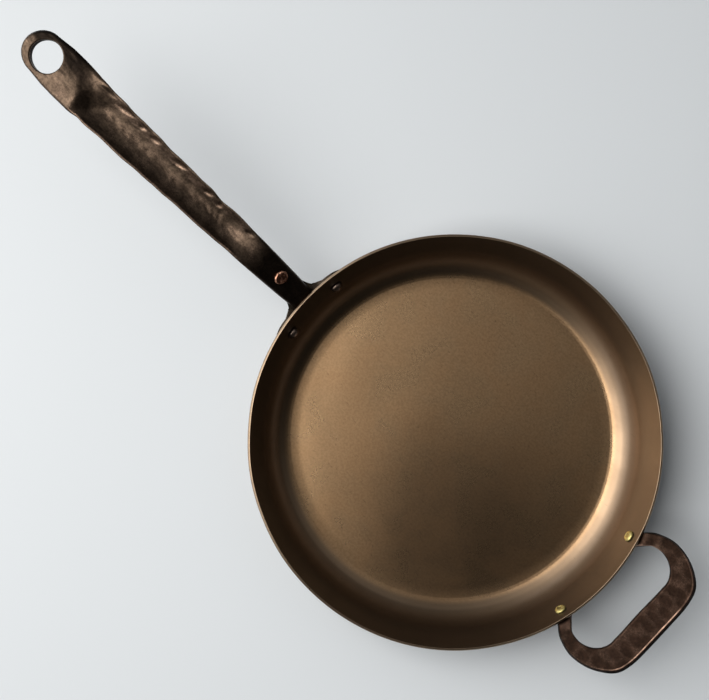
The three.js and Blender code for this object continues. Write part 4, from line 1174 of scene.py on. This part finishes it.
def make_floor():
    """A plain pale floor."""
    half, low = FLOOR_HALF, FLOOR_LEVEL
    corners = [(-half, -half, low), (half, -half, low), (half, half, low), (-half, half, low)]
    mesh = bpy.data.meshes.new("floor")
    mesh.from_pydata(corners, [], [(0, 1, 2, 3)])
    material = bpy.data.materials.new("pale_floor")
    material.use_nodes = True
    shader = material.node_tree.nodes["Principled BSDF"]
    shader.inputs["Base Color"].default_value = PALE_FLOOR
    shader.inputs["Roughness"].default_value = FLOOR_ROUGHNESS
    mesh.materials.append(material)
    floor = bpy.data.objects.new("floor", mesh)
    bpy.context.scene.collection.objects.link(floor)


def picture_way(around, elevation):
    """A direction in the part's frame. around is its turn in the picture: 0 is right and 90 is up."""
    turn, tall = math.radians(CAMERA_TURN[2] + around), math.radians(elevation)
    return np.array([math.cos(turn) * math.cos(tall), math.sin(turn) * math.cos(tall), math.sin(tall)])


def make_window():
    """A soft lamp the size of a window, aimed at the pan."""
    data = bpy.data.lights.new("window", "AREA")
    data.shape = "RECTANGLE"
    data.size, data.size_y = WINDOW_SIZE
    data.energy = WINDOW_WATTS
    data.color = WINDOW_COLOR
    lamp = bpy.data.objects.new("window", data)
    lamp.location = picture_way(WINDOW_AROUND, WINDOW_ELEVATION) * WINDOW_DISTANCE
    turn = math.radians(CAMERA_TURN[2] + WINDOW_AROUND)
    lamp.rotation_euler = (math.pi / 2 - math.radians(WINDOW_ELEVATION), 0.0, turn + math.pi / 2)
    bpy.context.scene.collection.objects.link(lamp)


def make_world():
    """A dim sky, brighter on the window's side and a little brighter overhead and on the right, with a pale
    band along the horizon. Each glow rises with the cosine of the angle to its middle."""
    world = bpy.data.worlds.new("sky")
    world.use_nodes = True
    tree = world.node_tree
    way = put(tree, "ShaderNodeTexCoord").outputs["Generated"]
    height = put(tree, "ShaderNodeSeparateXYZ", {0: way}).outputs["Z"]
    light = ramp(tree, height, HORIZON_TOP, 0.0, SKY_DIM, HORIZON_GLOW)
    for toward, low, high, strength in SKY_GLOWS:
        feeds = {0: way, 1: picture_way(*toward)}
        facing = put(tree, "ShaderNodeVectorMath", feeds, operation="DOT_PRODUCT").outputs["Value"]
        light = calc(tree, "ADD", ramp(tree, facing, low, high, 0.0, strength), light)
    back = tree.nodes["Background"]
    back.inputs["Color"].default_value = SKY_COLOR
    tree.links.new(light, back.inputs["Strength"])
    bpy.context.scene.world = world


make_camera()
make_floor()
make_window()
make_world()
bpy.context.scene.view_settings.view_transform = "Standard"
